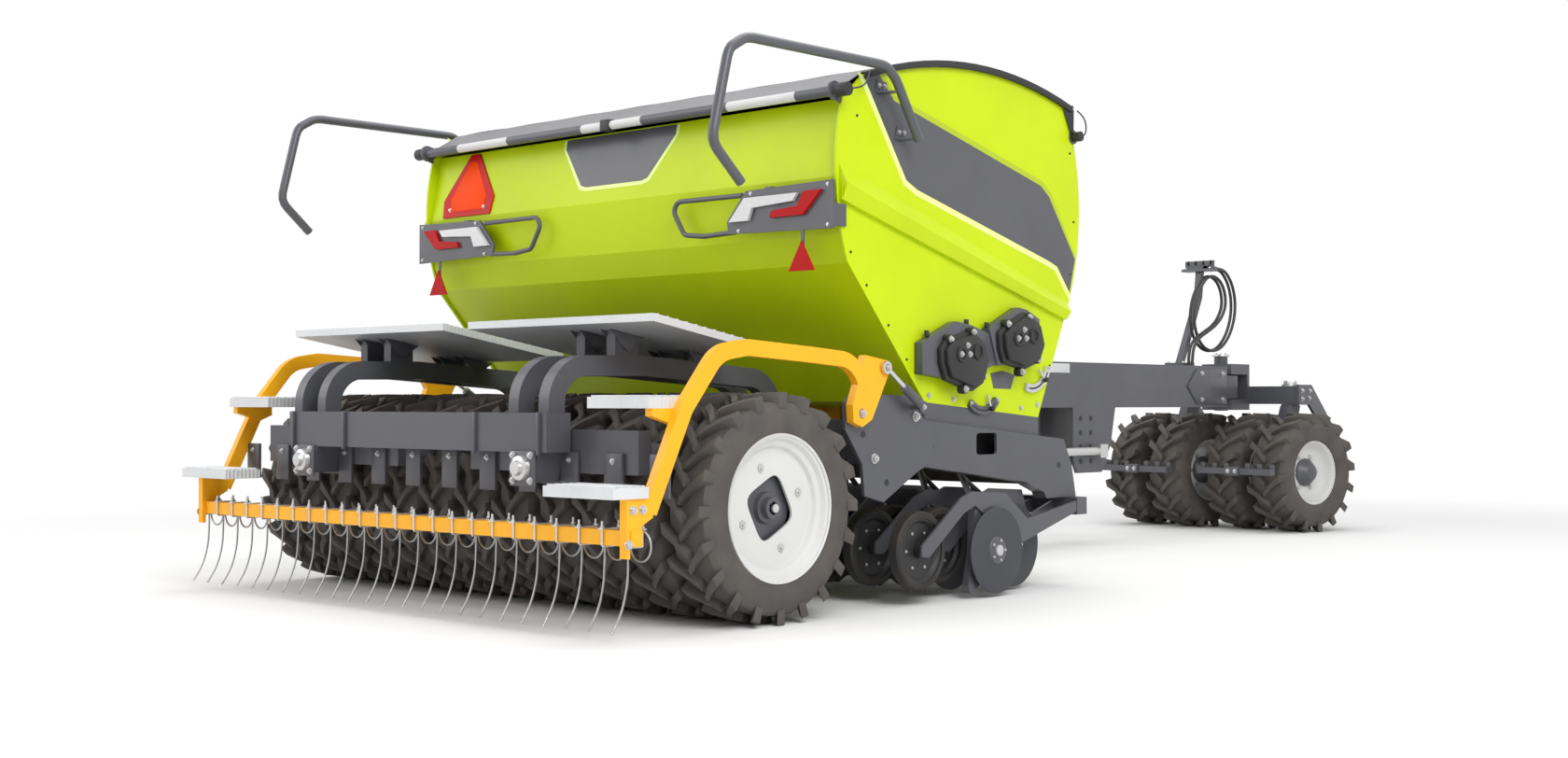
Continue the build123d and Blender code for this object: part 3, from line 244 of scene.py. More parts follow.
class Stock:
    """A piece in the making: parts are shaped with mesh operators and gathered into one mesh."""

    def __init__(self) -> None:
        """Start with an empty piece."""
        self.bm = bmesh.new()

    def gather(self, part: bmesh.types.BMesh, finish: int, edge: float) -> "Stock":
        """Round a part's edges, give it its finish and add it.

        Args:
            part: The shaped part, which is used up.
            finish: Index among the piece's finishes.
            edge: Width of the rounded edges, or 0.

        Returns:
            The piece itself.
        """
        bmesh.ops.recalc_face_normals(part, faces=part.faces)
        if edge > 0:
            bmesh.ops.bevel(
                part, geom=part.edges[:], offset=edge, offset_type="OFFSET", affect="EDGES", segments=2,
                profile=0.5, material=-1, clamp_overlap=True,
            )
        for face in part.faces:
            face.material_index = finish
        mesh = bpy.data.meshes.new("part")
        part.to_mesh(mesh)
        part.free()
        self.bm.from_mesh(mesh)
        bpy.data.meshes.remove(mesh)
        return self

    def block(self, low: Vector, high: Vector, finish: int = 0, edge: float = 0.003) -> "Stock":
        """Add a box with rounded edges.

        Args:
            low: One corner.
            high: The opposite corner.
            finish: Index among the piece's finishes.
            edge: Width of the rounded edges.

        Returns:
            The piece itself.
        """
        part = bmesh.new()
        size = high - low
        matrix = Matrix.Translation((low + high) / 2) @ Matrix.Diagonal((*[abs(s) for s in size], 1))
        bmesh.ops.create_cube(part, size=1.0, matrix=matrix)
        return self.gather(part, finish, edge)

    def plate(
        self, corners: list[Vector], depth: Vector, finish: int = 0, edge: float = 0.002
    ) -> "Stock":
        """Add a flat plate, extruded from its corners.

        Args:
            corners: The outline, in order.
            depth: Way and length of the extrusion.
            finish: Index among the piece's finishes.
            edge: Width of the rounded edges.

        Returns:
            The piece itself.
        """
        part = bmesh.new()
        face = part.faces.new([part.verts.new(corner) for corner in corners])
        grown = bmesh.ops.extrude_face_region(part, geom=[face], use_keep_orig=True)
        moved = [item for item in grown["geom"] if isinstance(item, bmesh.types.BMVert)]
        bmesh.ops.translate(part, verts=moved, vec=depth)
        return self.gather(part, finish, edge)

    def hull(self, points: list[Vector], finish: int = 0, edge: float = 0.0) -> "Stock":
        """Add the solid that points span.

        Args:
            points: Its corners, in any order.
            finish: Index among the piece's finishes.
            edge: Width of the rounded edges.

        Returns:
            The piece itself.
        """
        part = bmesh.new()
        verts = [part.verts.new(point) for point in points]
        bmesh.ops.convex_hull(part, input=verts)
        return self.gather(part, finish, edge)

    def rod(
        self, start: Vector, end: Vector, radius: float, finish: int = 0, sides: int = 16,
        tip: float | None = None, edge: float = 0.0,
    ) -> "Stock":
        """Add a round, tapered or hexagonal bar.

        Args:
            start: Middle of the first end.
            end: Middle of the other end.
            radius: Radius at the first end.
            finish: Index among the piece's finishes.
            sides: Number of flats.
            tip: Radius at the other end, if it differs.
            edge: Width of the rounded edges.

        Returns:
            The piece itself.
        """
        part = bmesh.new()
        matrix = Matrix.Translation((start + end) / 2) @ along(end - start)
        bmesh.ops.create_cone(
            part, cap_ends=True, cap_tris=False, segments=sides, radius1=radius,
            radius2=radius if tip is None else tip, depth=(end - start).length, matrix=matrix,
        )
        return self.gather(part, finish, edge)

    def turned(
        self, profile: list[Point], middle: Vector, axis: Vector, finish: int = 0, steps: int = 40,
        closed: bool = True,
    ) -> "Stock":
        """Add a turned form, spun from a profile.

        Args:
            profile: Points as (distance along the axis, radius).
            middle: Point on the axis.
            axis: The axis.
            finish: Index among the piece's finishes.
            steps: Steps of the spin.
            closed: Whether the profile's ends are joined.

        Returns:
            The piece itself.
        """
        part = bmesh.new()
        verts = [part.verts.new((radius, 0.0, reach)) for reach, radius in profile]
        pairs = list(zip(verts, verts[1:])) + ([(verts[-1], verts[0])] if closed else [])
        edges = [part.edges.new(pair) for pair in pairs]
        bmesh.ops.spin(
            part, geom=verts + edges, cent=(0, 0, 0), axis=(0, 0, 1), angle=2 * pi, steps=steps,
            use_merge=True,
        )
        bmesh.ops.remove_doubles(part, verts=part.verts, dist=1e-5)
        bmesh.ops.transform(part, verts=part.verts, matrix=Matrix.Translation(middle) @ along(axis))
        return self.gather(part, finish, 0.0)

    def bolt(self, seat: Vector, way: Vector, size: float, finish: int = 0) -> "Stock":
        """Add a hexagon head on its washer.

        Args:
            seat: Point on the surface under the head.
            way: Direction out of the surface.
            size: Radius of the head.
            finish: Index among the piece's finishes.

        Returns:
            The piece itself.
        """
        out = way.normalized()
        self.rod(seat, seat + out * size * 0.22, size * 1.35, finish, 14)
        self.rod(seat + out * size * 0.2, seat + out * size * 0.95, size, finish, 6, edge=size * 0.1)
        return self.rod(seat + out * size * 0.9, seat + out * size * 1.35, size * 0.5, finish, 10)

    def bolt_circle(
        self, middle: Vector, way: Vector, radius: float, count: int, size: float, finish: int = 0,
        start: float = 0.0,
    ) -> "Stock":
        """Add bolts evenly round a middle.

        Args:
            middle: Middle of the circle on the surface.
            way: Direction out of the surface, along X or Z.
            radius: Radius of the circle.
            count: Number of bolts.
            size: Radius of the heads.
            finish: Index among the piece's finishes.
            start: Angle of the first bolt in degrees.

        Returns:
            The piece itself.
        """
        across, along_side = Vector((0, 1, 0)), UPWARD
        if abs(way.z) > 0.5:
            across, along_side = RIGHTWARD, Vector((0, 1, 0))
        for index in range(count):
            angle = radians(start + 360 / count * index)
            self.bolt(middle + (across * cos(angle) + along_side * sin(angle)) * radius, way, size, finish)
        return self

    def wire(self, points: list[Vector], radius: float, finish: int = 0, sides: int = 1) -> "Stock":
        """Add a bent wire or tube along a smooth line.

        Args:
            points: Control points of the line.
            radius: Radius of the wire.
            finish: Index among the piece's finishes.
            sides: Resolution of the round section.

        Returns:
            The piece itself.
        """
        curve = bpy.data.curves.new("wire", "CURVE")
        curve.dimensions = "3D"
        curve.bevel_depth = radius
        curve.bevel_resolution = sides
        curve.resolution_u = 3
        curve.use_fill_caps = True
        spline = curve.splines.new("NURBS")
        spline.points.add(len(points) - 1)
        for knot, point in zip(spline.points, points):
            knot.co = (*point, 1.0)
        spline.order_u = 3
        spline.use_endpoint_u = True
        holder = bpy.data.objects.new("wire", curve)
        mesh = bpy.data.meshes.new_from_object(holder)
        part = bmesh.new()
        part.from_mesh(mesh)
        bmesh.ops.remove_doubles(part, verts=part.verts, dist=1e-6)
        bpy.data.objects.remove(holder)
        bpy.data.curves.remove(curve)
        bpy.data.meshes.remove(mesh)
        return self.gather(part, finish, 0.0)

    def stamp(self, other: "Stock", places: list[Matrix]) -> "Stock":
        """Add copies of another piece.

        Args:
            other: The piece to copy.
            places: One placing for each copy.

        Returns:
            The piece itself.
        """
        source = bpy.data.meshes.new("stamp")
        other.bm.to_mesh(source)
        for place in places:
            copy = source.copy()
            copy.transform(place)
            if place.determinant() < 0:
                copy.flip_normals()
            self.bm.from_mesh(copy)
            bpy.data.meshes.remove(copy)
        bpy.data.meshes.remove(source)
        return self

    def piece(
        self, name: str, finishes: list[Finish], body: str, slot: str, stands_for: tuple[str, ...] = (),
        smooth: float = 35.0,
    ) -> bpy.types.Object:
        """Make the piece an object that rides on a body.

        Args:
            name: Name of the piece.
            finishes: Its finishes, in the order of their indices.
            body: The body that carries it.
            slot: The record's material slot; not used.
            stands_for: Nodes that it replaces.
            smooth: Angle in degrees under which faces are shaded smooth.

        Returns:
            The object.
        """
        mesh = bpy.data.meshes.new(name)
        self.bm.to_mesh(mesh)
        self.bm.free()
        for finish in finishes:
            mesh.materials.append(finish.material())
        mesh.polygons.foreach_set("use_smooth", [True] * len(mesh.polygons))
        mesh.set_sharp_from_angle(angle=radians(smooth))
        item = bpy.data.objects.new(name, mesh)
        bpy.context.scene.collection.objects.link(item)
        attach(item, body)
        if stands_for:
            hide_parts(*stands_for)
        log.info("%s: %d faces on %s", name, len(mesh.polygons), body)
        return item


@dataclass
class Tyre:
    """A tractor-pattern tyre about the X axis."""

    radius: float
    width: float
    bore: float
    lug: float
    lugs: int

    def stock(self) -> Stock:
        """Spin the carcass and set the slanted lugs round it.

        Returns:
            The tyre, centred on the origin.
        """
        tread, half = self.radius - self.lug, self.width / 2
        wall = tread - self.bore
        rise = [
            (-0.80, 0.0), (-0.92, 0.06), (-1.0, 0.30), (-1.0, 0.58), (-0.95, 0.84), (-0.82, 0.96),
            (-0.4, 1.0),
        ]
        profile = [(share * half, self.bore + height * wall) for share, height in rise]
        profile += [(-reach, radius) for reach, radius in reversed(profile)]
        whole = Stock().turned(profile, Vector(), RIGHTWARD, steps=60)
        pitch = 2 * pi * self.radius / self.lugs
        places = [Matrix.Rotation(2 * pi * index / self.lugs, 4, "X") for index in range(self.lugs)]
        turn = Matrix.Rotation(pi / self.lugs, 4, "X")
        for hand in (-1, 1):
            lug = self._lug(hand, pitch)
            whole.stamp(lug, places if hand < 0 else [turn @ place for place in places])
        return whole

    def _lug(self, hand: int, pitch: float) -> Stock:
        """Shape one lug, from the middle of the tread over one shoulder.

        Args:
            hand: -1 or 1, the shoulder.
            pitch: Distance between lugs on the tread.

        Returns:
            The lug at the top of the tyre.
        """
        half = self.width / 2
        steps = ((-0.10, -0.46, 0.115), (0.45, -0.02, 0.125), (1.0, 0.30, 0.16))
        near = [Vector((hand * x * half, (t - thick) * pitch, 0)) for x, t, thick in steps]
        far = [Vector((hand * x * half, (t + thick) * pitch, 0)) for x, t, thick in reversed(steps)]
        foot = self.radius - self.lug - 0.22 * (self.radius - self.lug - self.bore)
        lug = Stock().plate(near + far, Vector((0, 0, self.radius - foot)), edge=0.004)
        for vert in lug.bm.verts:
            turn = vert.co.y / self.radius
            reach = foot + vert.co.z
            vert.co = Vector((vert.co.x, reach * sin(turn), reach * cos(turn)))
        return lug


@dataclass
class RearGang:
    """Six packer tyres of one side on their shaft, the outer one on a dished rim."""

    side: Side
    tyre: Tyre = field(default_factory=lambda: Tyre(0.444, 0.21, 0.278, 0.032, 20))
    pitch: float = 0.25
    count: int = 6
    axle_height: float = 0.445

    def build(self) -> None:
        """Make the tyres and the rims."""
        sign, name = self.side.value, self.side.name.lower()
        centres = [spot(sign * self.pitch * (i + 0.5), 0, self.axle_height) for i in range(self.count)]
        one = self.tyre.stock()
        tyres = Stock()
        for index, centre in enumerate(centres):
            tyres.stamp(one, [Matrix.Translation(centre) @ Matrix.Rotation(0.11 * index, 4, "X")])
        tyres.piece(f"packer_tyres_{name}", [RUBBER], f"rear_gang_{name}", "tyre", (f"rear_tyres_{name}",))
        rims = Stock()
        way = Vector((sign, 0, 0))
        for centre in centres[:-1]:
            rims.turned(
                [(-0.085, 0.278), (0.085, 0.278), (0.085, 0.262), (0.012, 0.25), (0.012, 0.04),
                 (-0.012, 0.04), (-0.012, 0.25), (-0.085, 0.262)],
                centre, way, steps=36,
            )
        self._outer_rim(rims, centres[-1], way)
        rims.rod(spot(sign * 0.04, 0, self.axle_height), centres[-1] + way * 0.06, 0.042, 1, 24)
        rims.piece(
            f"packer_rims_{name}", [WHITE, GREY, BOLT], f"rear_gang_{name}", "white_paint",
            (f"rear_rims_{name}",),
        )

    def _outer_rim(self, rims: Stock, centre: Vector, way: Vector) -> None:
        """Add the visible rim with its square opening, hub plate and nuts.

        Args:
            rims: The piece that gets it.
            centre: Middle of the wheel.
            way: Direction out of the machine.
        """
        rims.turned(
            [(-0.09, 0.278), (0.098, 0.278), (0.102, 0.286), (0.096, 0.288), (0.088, 0.268), (0.07, 0.258),
             (0.062, 0.24), (0.046, 0.232), (0.042, 0.222), (0.03, 0.222), (0.03, 0.236), (-0.09, 0.262)],
            centre, way, steps=64,
        )
        face = bmesh.new()
        outer = bmesh.ops.create_circle(face, cap_ends=False, segments=48, radius=0.226)["verts"]
        inner = bmesh.ops.create_circle(face, cap_ends=False, segments=48, radius=0.105)["verts"]
        for vert in inner:
            flat = vert.co.to_2d().normalized()
            vert.co *= 1 / (abs(flat.x) ** 5 + abs(flat.y) ** 5) ** 0.2
        bmesh.ops.bridge_loops(face, edges=face.edges[:])
        bmesh.ops.translate(face, verts=outer, vec=(0, 0, 0.004))
        bmesh.ops.solidify(face, geom=face.faces[:], thickness=0.01)
        place = Matrix.Translation(centre + way * 0.03) @ along(way) @ Matrix.Rotation(radians(28), 4, "Z")
        bmesh.ops.transform(face, verts=face.verts, matrix=place)
        rims.gather(face, 0, 0.0)
        rims.turned([(-0.02, 0.0), (0.012, 0.0), (0.012, 0.13), (-0.02, 0.13)], centre, way, 1, 32)
        boss = [(0.012, 0.062), (0.03, 0.058), (0.034, 0.03), (0.034, 0.0), (0.012, 0.0)]
        rims.turned(boss, centre, way, 1, 32)
        rims.rod(centre + way * 0.03, centre + way * 0.06, 0.03, 2, 6, edge=0.003)
        rims.rod(centre + way * 0.055, centre + way * 0.072, 0.017, 2, 16)
        rims.bolt_circle(centre + way * 0.033, way, 0.165, 4, 0.017, 2, 20)


@dataclass
class FrontPair:
    """Two steered tyres on one axle of the front packer, with rims, hubs and scraper."""

    side: Side
    tyre: Tyre = field(default_factory=lambda: Tyre(0.389, 0.27, 0.205, 0.032, 16))
    steer: float = -12.0
    half_pitch: float = 0.19

    def placing(self) -> Matrix:
        """Give the placing of the axle's middle, as steered."""
        pin = Matrix.Translation(spot(self.side.value * 0.38, 6.22, 0.0))
        return pin @ Matrix.Rotation(radians(self.steer), 4, "Z") @ Matrix.Translation((0, -0.13, 0.39))

    def build(self) -> None:
        """Make the tyres, the rims with their hubs and the scraper's fittings."""
        name = self.side.name.lower()
        placing = self.placing()
        middles = [placing @ Matrix.Translation((hand * self.half_pitch, 0, 0)) for hand in (-1, 1)]
        tyres = Stock().stamp(self.tyre.stock(), middles)
        tyres.piece(
            f"front_packer_tyres_{name}", [RUBBER], f"front_pair_{name}", "tyre", (f"front_tyres_{name}",),
        )
        turned_round = Matrix.Rotation(pi, 4, "Z")
        rims = Stock().stamp(self._rim(), [middles[1], middles[0] @ turned_round])
        rims.rod(placing @ Vector((-0.2, 0, 0)), placing @ Vector((0.2, 0, 0)), 0.038, 1, 24)
        rims.piece(
            f"front_packer_rims_{name}", [WHITE, GREY, BOLT], f"front_pair_{name}", "white_paint",
            (f"front_rims_{name}",),
        )
        self._scraper(name)

    def _rim(self) -> Stock:
        """Shape one deep rim with its domed hub, facing +X.

        Returns:
            The rim, centred on the origin.
        """
        rim = Stock()
        rim.turned(
            [(-0.115, 0.205), (0.112, 0.205), (0.118, 0.214), (0.112, 0.217), (0.104, 0.198), (0.09, 0.19),
             (0.06, 0.182), (0.035, 0.16), (0.028, 0.135), (0.03, 0.06), (0.018, 0.06), (0.018, 0.17),
             (-0.115, 0.19)],
            Vector(), RIGHTWARD, steps=56,
        )
        rim.turned(
            [(0.018, 0.0), (0.018, 0.092), (0.044, 0.09), (0.058, 0.07), (0.085, 0.056), (0.1, 0.03),
             (0.103, 0.0)],
            Vector(), RIGHTWARD, 1, 40,
        )
        return rim.bolt_circle(Vector((0.031, 0, 0)), RIGHTWARD, 0.113, 6, 0.012, 2)

    def _scraper(self, name: str) -> None:
        """Dress the scraper bar with blades, a clamp block and the castor pin's nut.

        Args:
            name: Left or right.
        """
        bar = Stock()
        bar.block(Vector((-0.055, -0.462, -0.018)), Vector((0.055, -0.405, 0.04)), 0, 0.004)
        for hand in (-1, 1):
            bar.bolt(Vector((hand * 0.03, -0.462, 0.012)), REARWARD, 0.011, 1)
            for place in (0.09, 0.19, 0.29):
                low = Vector((hand * place - 0.02, -0.412, -0.008))
                bar.block(low, low + Vector((0.04, 0.008, 0.068)), 0, 0.002)
        parts = Stock().stamp(bar, [self.placing()])
        pin = spot(self.side.value * 0.38, 6.22, 0.96)
        parts.rod(pin, pin + UPWARD * 0.012, 0.058, 1, 24)
        parts.rod(pin + UPWARD * 0.012, pin + UPWARD * 0.038, 0.046, 1, 6, edge=0.003)
        parts.piece(f"scraper_fittings_{name}", [GREY, BOLT], f"castor_{name}", "grey_paint")


@dataclass
class Coulters:
    """The opening discs and press wheels of both rows."""

    rows: int = 24
    pitch: float = 0.125
    stagger: float = 0.3
    disc_radius: float = 0.189
    wheel_radius: float = 0.166

    def build(self) -> None:
        """Make each row's discs and press wheels."""
        disc, wheel = self._disc(), self._wheel()
        for name, first, shift in (("front", 0, self.stagger), ("rear", 1, 0.0)):
            places = [(index - (self.rows - 1) / 2) * self.pitch for index in range(first, self.rows, 2)]
            discs, wheels = Stock(), Stock()
            for x in places:
                sign = 1 if x > 0 else -1
                hand = Matrix.Rotation(0.0 if x > 0 else pi, 4, "Z")
                at_disc = spot(x + sign * 0.03, 1.389 + shift, 0.204)
                at_wheel = spot(x - sign * 0.0275, 0.907 + shift, 0.229)
                discs.stamp(disc, [Matrix.Translation(at_disc) @ hand])
                wheels.stamp(wheel, [Matrix.Translation(at_wheel) @ hand])
            discs.piece(
                f"opening_discs_{name}", [DISC, GREY, BOLT], f"{name}_discs", "disc_steel",
                (f"discs_{name}",),
            )
            wheels.piece(
                f"closing_wheels_{name}", [PRESS, PLASTIC, BOLT], f"{name}_press_wheels", "press_rubber",
                (f"press_wheels_{name}",),
            )

    def _disc(self) -> Stock:
        """Shape one disc with its hub plate, facing +X.

        Returns:
            The disc, with its inner face on the origin.
        """
        radius = self.disc_radius
        blade = [(0.0, 0.0), (0.0, radius - 0.022), (0.003, radius), (0.006, radius - 0.004), (0.006, 0.0)]
        collar = [(-0.009, 0.0143), (-0.009, 0.044), (0.0, 0.044), (0.0, 0.0143)]
        plate = [(0.006, 0.0), (0.006, 0.062), (0.012, 0.058), (0.014, 0.03), (0.014, 0.0)]
        cap = [(0.014, 0.0), (0.014, 0.026), (0.022, 0.024), (0.026, 0.016), (0.0275, 0.0)]
        disc = Stock()
        for profile, finish, steps in ((blade, 0, 44), (collar, 1, 24), (plate, 1, 28), (cap, 2, 24)):
            disc.turned(profile, Vector(), RIGHTWARD, finish, steps)
        return disc.bolt_circle(Vector((0.01, 0, 0)), RIGHTWARD, 0.045, 5, 0.007, 2)

    def _wheel(self) -> Stock:
        """Shape one press wheel: rubber tread on a dished disc.

        Returns:
            The wheel, centred on the origin.
        """
        radius = self.wheel_radius
        tread = [
            (-0.027, radius - 0.03), (-0.0275, radius - 0.01), (-0.02, radius - 0.002), (0.0, radius),
            (0.02, radius - 0.002), (0.0275, radius - 0.01), (0.027, radius - 0.03),
        ]
        dish = [
            (-0.022, radius - 0.03), (0.022, radius - 0.03), (0.02, radius - 0.04), (0.006, radius - 0.052),
            (0.006, 0.0123), (-0.006, 0.0123), (-0.006, radius - 0.052), (-0.02, radius - 0.04),
        ]
        hub = [(-0.0275, 0.0123), (-0.0275, 0.03), (0.0275, 0.034), (0.0275, 0.0123)]
        wheel = Stock()
        for profile, finish, steps in ((tread, 0, 44), (dish, 1, 44), (hub, 1, 24)):
            wheel.turned(profile, Vector(), RIGHTWARD, finish, steps)
        return wheel.bolt_circle(Vector((0.006, 0, 0)), RIGHTWARD, 0.082, 6, 0.005, 2)


@dataclass
class Harrow:
    """Spring tines with their clamps on the rear beam."""

    rows: int = 24
    pitch: float = 0.125
    beam: tuple[float, float] = (-0.758, -0.703)
    beam_bottom: float = 0.342
    beam_height: float = 0.055
    ring: float = 0.057
    wire: float = 0.004
    leg: tuple[Point, ...] = (
        (-0.699, 0.27), (-0.703, 0.2), (-0.716, 0.145), (-0.735, 0.095), (-0.757, 0.06), (-0.778, 0.03),
    )
    steps: tuple[tuple[float, ...], ...] = (
        (1.09, 1.42, -0.64, -0.446, 0.87), (1.09, 1.468, -0.85, -0.68, 0.55),
    )

    def build(self) -> None:
        """Make the tines, their clamps and the steps' details."""
        offsets = [(index - (self.rows - 1) / 2) * self.pitch for index in range(self.rows)]
        places = [Matrix.Translation((offset, 0, 0)) for offset in offsets]
        Stock().stamp(self._tine(), places).piece(
            "spring_tines", [SPRING], "harrow", "steel", ("harrow_tines",), 60,
        )
        Stock().stamp(self._clamp(), places).piece("tine_clamps", [BOLT], "harrow", "steel")
        self._step_details()

    def _tine(self) -> Stock:
        """Bend one spring tine: a coil in front of the beam and a curved leg.

        Returns:
            The tine in the middle of the beam.
        """
        front = self.beam[1] + self.wire + 0.0005
        points = []
        for step in range(31):
            angle = radians(-270 + 15 * step)
            height = self.beam_bottom + self.ring * sin(angle)
            points.append(spot(self.ring * cos(angle), front + 0.012 * (1 - step / 30), height))
        points += [spot(-self.ring, station, height) for station, height in self.leg]
        return Stock().wire(points, self.wire)

    def _clamp(self) -> Stock:
        """Shape one clamp: a hook round the beam, a strap and two nuts.

        Returns:
            The clamp in the middle of the beam.
        """
        low, high = self.beam_bottom, self.beam_bottom + self.beam_height
        rear, ahead, bend = self.beam[0] - 0.0045, self.beam[1] + 0.0205, 0.004
        hook = [
            (rear, high + 0.03), (rear, low), (rear + bend, low - bend), (ahead - bend, low - bend),
            (ahead, low), (ahead, high + 0.03),
        ]
        clamp = Stock().wire([spot(0, y, z) for y, z in hook for _ in range(2)], 0.0042)
        clamp.block(spot(-0.013, rear - 0.009, high), spot(0.013, ahead + 0.009, high + 0.005), 0, 0.001)
        for station in (rear, ahead):
            foot = spot(0, station, high + 0.005)
            clamp.rod(foot, foot + UPWARD * 0.008, 0.0085, 0, 6, edge=0.0008)
        return clamp

    def _step_details(self) -> None:
        """Add grip strips to the four steps and bolts to the arms and lift pins."""
        parts = Stock()
        for side in Side:
            sign, out = side.value, RIGHTWARD * side.value
            for inner, outer, rear, ahead, top in self.steps:
                for share in range(5):
                    station = rear + 0.015 + (ahead - rear - 0.03) * share / 4
                    parts.block(
                        spot(sign * (inner + 0.01), station - 0.006, top - 0.001),
                        spot(sign * (outer - 0.01), station + 0.006, top + 0.006), 0, 0.002,
                    )
            for station, height in ((-0.70, 0.47), (-0.745, 0.47), (-0.766, 0.35), (0.50, 0.805)):
                parts.bolt(spot(sign * 1.456, station, height), out, 0.013, 1)
            for station, height in ((0.635, 0.991), (0.87, 0.83)):
                parts.bolt(spot(sign * 1.477, station, height), out, 0.009, 1)
        parts.piece("step_details", [ZINC, BOLT], "harrow", "galvanised")


@dataclass
class Hopper:
    """Trim of the seed hopper: bands, panel, tarp cover, roll tube, sign and fasteners."""

    half: float = 1.376
    band: tuple[Point, ...] = (
        (0.603, 2.186), (0.700, 2.205), (0.798, 2.109), (1.861, 1.847), (1.927, 1.802), (2.140, 1.523),
        (2.094, 1.366), (1.992, 1.482), (1.926, 1.504), (0.953, 1.750), (0.879, 1.784),
    )
    fold: tuple[tuple[float, float, float], ...] = (
        (0.0, 0.447, 1.672), (0.0205, 0.447, 1.668), (0.046, 0.447, 1.735), (0.0, 0.447, 1.815),
        (0.0, 2.040, 1.238), (0.0205, 2.040, 1.236), (0.036, 2.058, 1.272), (0.0, 2.070, 1.325),
    )
    rail: tuple[Point, ...] = (
        (-0.198, 1.672), (-0.355, 1.812), (-0.265, 2.168), (-0.168, 2.225), (0.655, 2.228), (0.722, 2.175),
        (0.869, 1.943),
    )
    rail_offset: float = 1.453
    tube: Point = (0.430, 2.107)
    roof: tuple[Point, ...] = ((0.600, 2.195), (1.290, 2.326), (2.095, 2.231))
    wall_low: Point = (0.448, 1.765)
    wall_high: Point = (0.512, 2.090)
    foot_bolts: tuple[Point, ...] = ((1.03, 0.88), (1.2, 0.862), (1.45, 0.842), (1.7, 0.825), (1.83, 0.84))
    rivets: tuple[Point, ...] = (
        (0.52, 1.46), (0.62, 1.33), (0.76, 1.17), (0.88, 1.03), (1.93, 1.02), (2.04, 1.28), (2.1, 1.45),
        (2.13, 1.7), (2.1, 2.02), (0.56, 2.02),
    )

    def build(self) -> None:
        """Make all the trim."""
        self._bands()
        self._rear_panel()
        self._sign()
        self._cover()
        self._roll_tube()
        self._handrails()
        self._fasteners()

    def _wall(self, x: float, height: float, out: float) -> Vector:
        """Give a point on the rear wall's upper panel.

        Args:
            x: Distance to the right.
            height: Height above the ground.
            out: Distance off the panel.

        Returns:
            The point.
        """
        lean = (self.wall_high[0] - self.wall_low[0]) / (self.wall_high[1] - self.wall_low[1])
        return spot(x, self.wall_low[0] + lean * (height - self.wall_low[1]) - out, height)

    def _bands(self) -> None:
        """Lay the dark diagonal band on both end plates, with its light lower border, its upper border in
        darker lime as painted shade, and the fold under it.
        """
        parts = Stock()
        outer = [(y + dy, z + dz) for (y, z), (dy, dz) in zip(self.band, self._outward(0.026))]
        for side in Side:
            sign = side.value
            # Upper border (finish 2) in the darker lime as painted shade; lower border (finish 1) in the
            # light lime trim.
            for picks, finish in (((1, 2, 3, 4, 5), 2), ((0, 10, 9, 8, 7, 6), 1)):
                strip = [outer[index] for index in picks] + [self.band[index] for index in reversed(picks)]
                border = [spot(sign * self.half, min(y, 2.15), z) for y, z in strip]
                parts.plate(border, Vector((sign * 0.001, 0, 0)), finish, 0.0)
            parts.plate(side_view(sign * self.half, self.band), Vector((sign * 0.002, 0, 0)), 0, 0.0)
            parts.hull([spot(sign * (self.half + out), y, z) for out, y, z in self.fold], 3)
        parts.piece("end_bands", [GREY, LIME_TRIM, PAINTED_SHADE_LIME, LIME], "chassis", "grey_paint", smooth=10)

    def _outward(self, width: float) -> list[Point]:
        """Give how far each corner of the band moves for a border of a width.

        Args:
            width: Border width.

        Returns:
            One shift for each corner.
        """
        shifts = []
        count = len(self.band)
        for index in range(count):
            before, here, after = (Vector(self.band[(index + step) % count]) for step in (-1, 0, 1))
            edges = (here - before, after - here)
            normals = [Vector((-edge.y, edge.x)).normalized() for edge in edges]
            bisector = (normals[0] + normals[1]).normalized()
            shift = bisector * (width / max(0.4, bisector.dot(normals[0])))
            shifts.append((shift.x, shift.y))
        return shifts

    def _rear_panel(self) -> None:
        """Lay the dark panel with its light border in the middle of the rear wall."""
        parts = Stock()
        for width, thick, finish in ((0.018, 0.001, 1), (0.0, 0.0022, 0)):
            right = [
                (0.372 + width, 2.083), (0.372 + width, 2.04), (0.225 + width * 0.6, 1.855 - width),
                (0.19, 1.845 - width),
            ]
            panel = [self._wall(x, z, 0.0) for x, z in mirrored(right)]
            parts.plate(panel, REARWARD * thick, finish, 0.0)
        parts.piece("rear_panel", [GREY, LIME_TRIM], "chassis", "grey_paint")

    def _sign(self) -> None:
        """Lay the orange middle on the red sign plate."""
        face = mirrored([(0.125, 1.80), (0.14, 1.865), (0.024, 2.045)])
        parts = Stock()
        parts.plate([self._wall(x - 1.066, z, 0.0078) for x, z in face], REARWARD * 0.002, 0, 0.0005)
        for x in (-1.2, -0.932):
            parts.bolt(self._wall(x, 1.81, 0.008), Vector((0, -1, 0.1)), 0.007, 1)
        parts.piece("sign_middle", [ORANGE, BOLT], "chassis", "sign_orange")

    def _arch(self, share: float) -> Point:
        """Give a point of the roof's arch.

        Args:
            share: 0 at the rear edge, 1 at the front edge.

        Returns:
            Station and height.
        """
        (y0, z0), (y1, z1), (y2, z2) = self.roof
        d = 2 * (y0 * (z1 - z2) + y1 * (z2 - z0) + y2 * (z0 - z1))
        s0, s1, s2 = y0 * y0 + z0 * z0, y1 * y1 + z1 * z1, y2 * y2 + z2 * z2
        cy = (s0 * (z1 - z2) + s1 * (z2 - z0) + s2 * (z0 - z1)) / d
        cz = (s0 * (y2 - y1) + s1 * (y0 - y2) + s2 * (y1 - y0)) / d
        radius = sqrt((y0 - cy) ** 2 + (z0 - cz) ** 2)
        y = y0 + (y2 - y0) * share
        return y, cz + sqrt(radius * radius - (y - cy) ** 2)

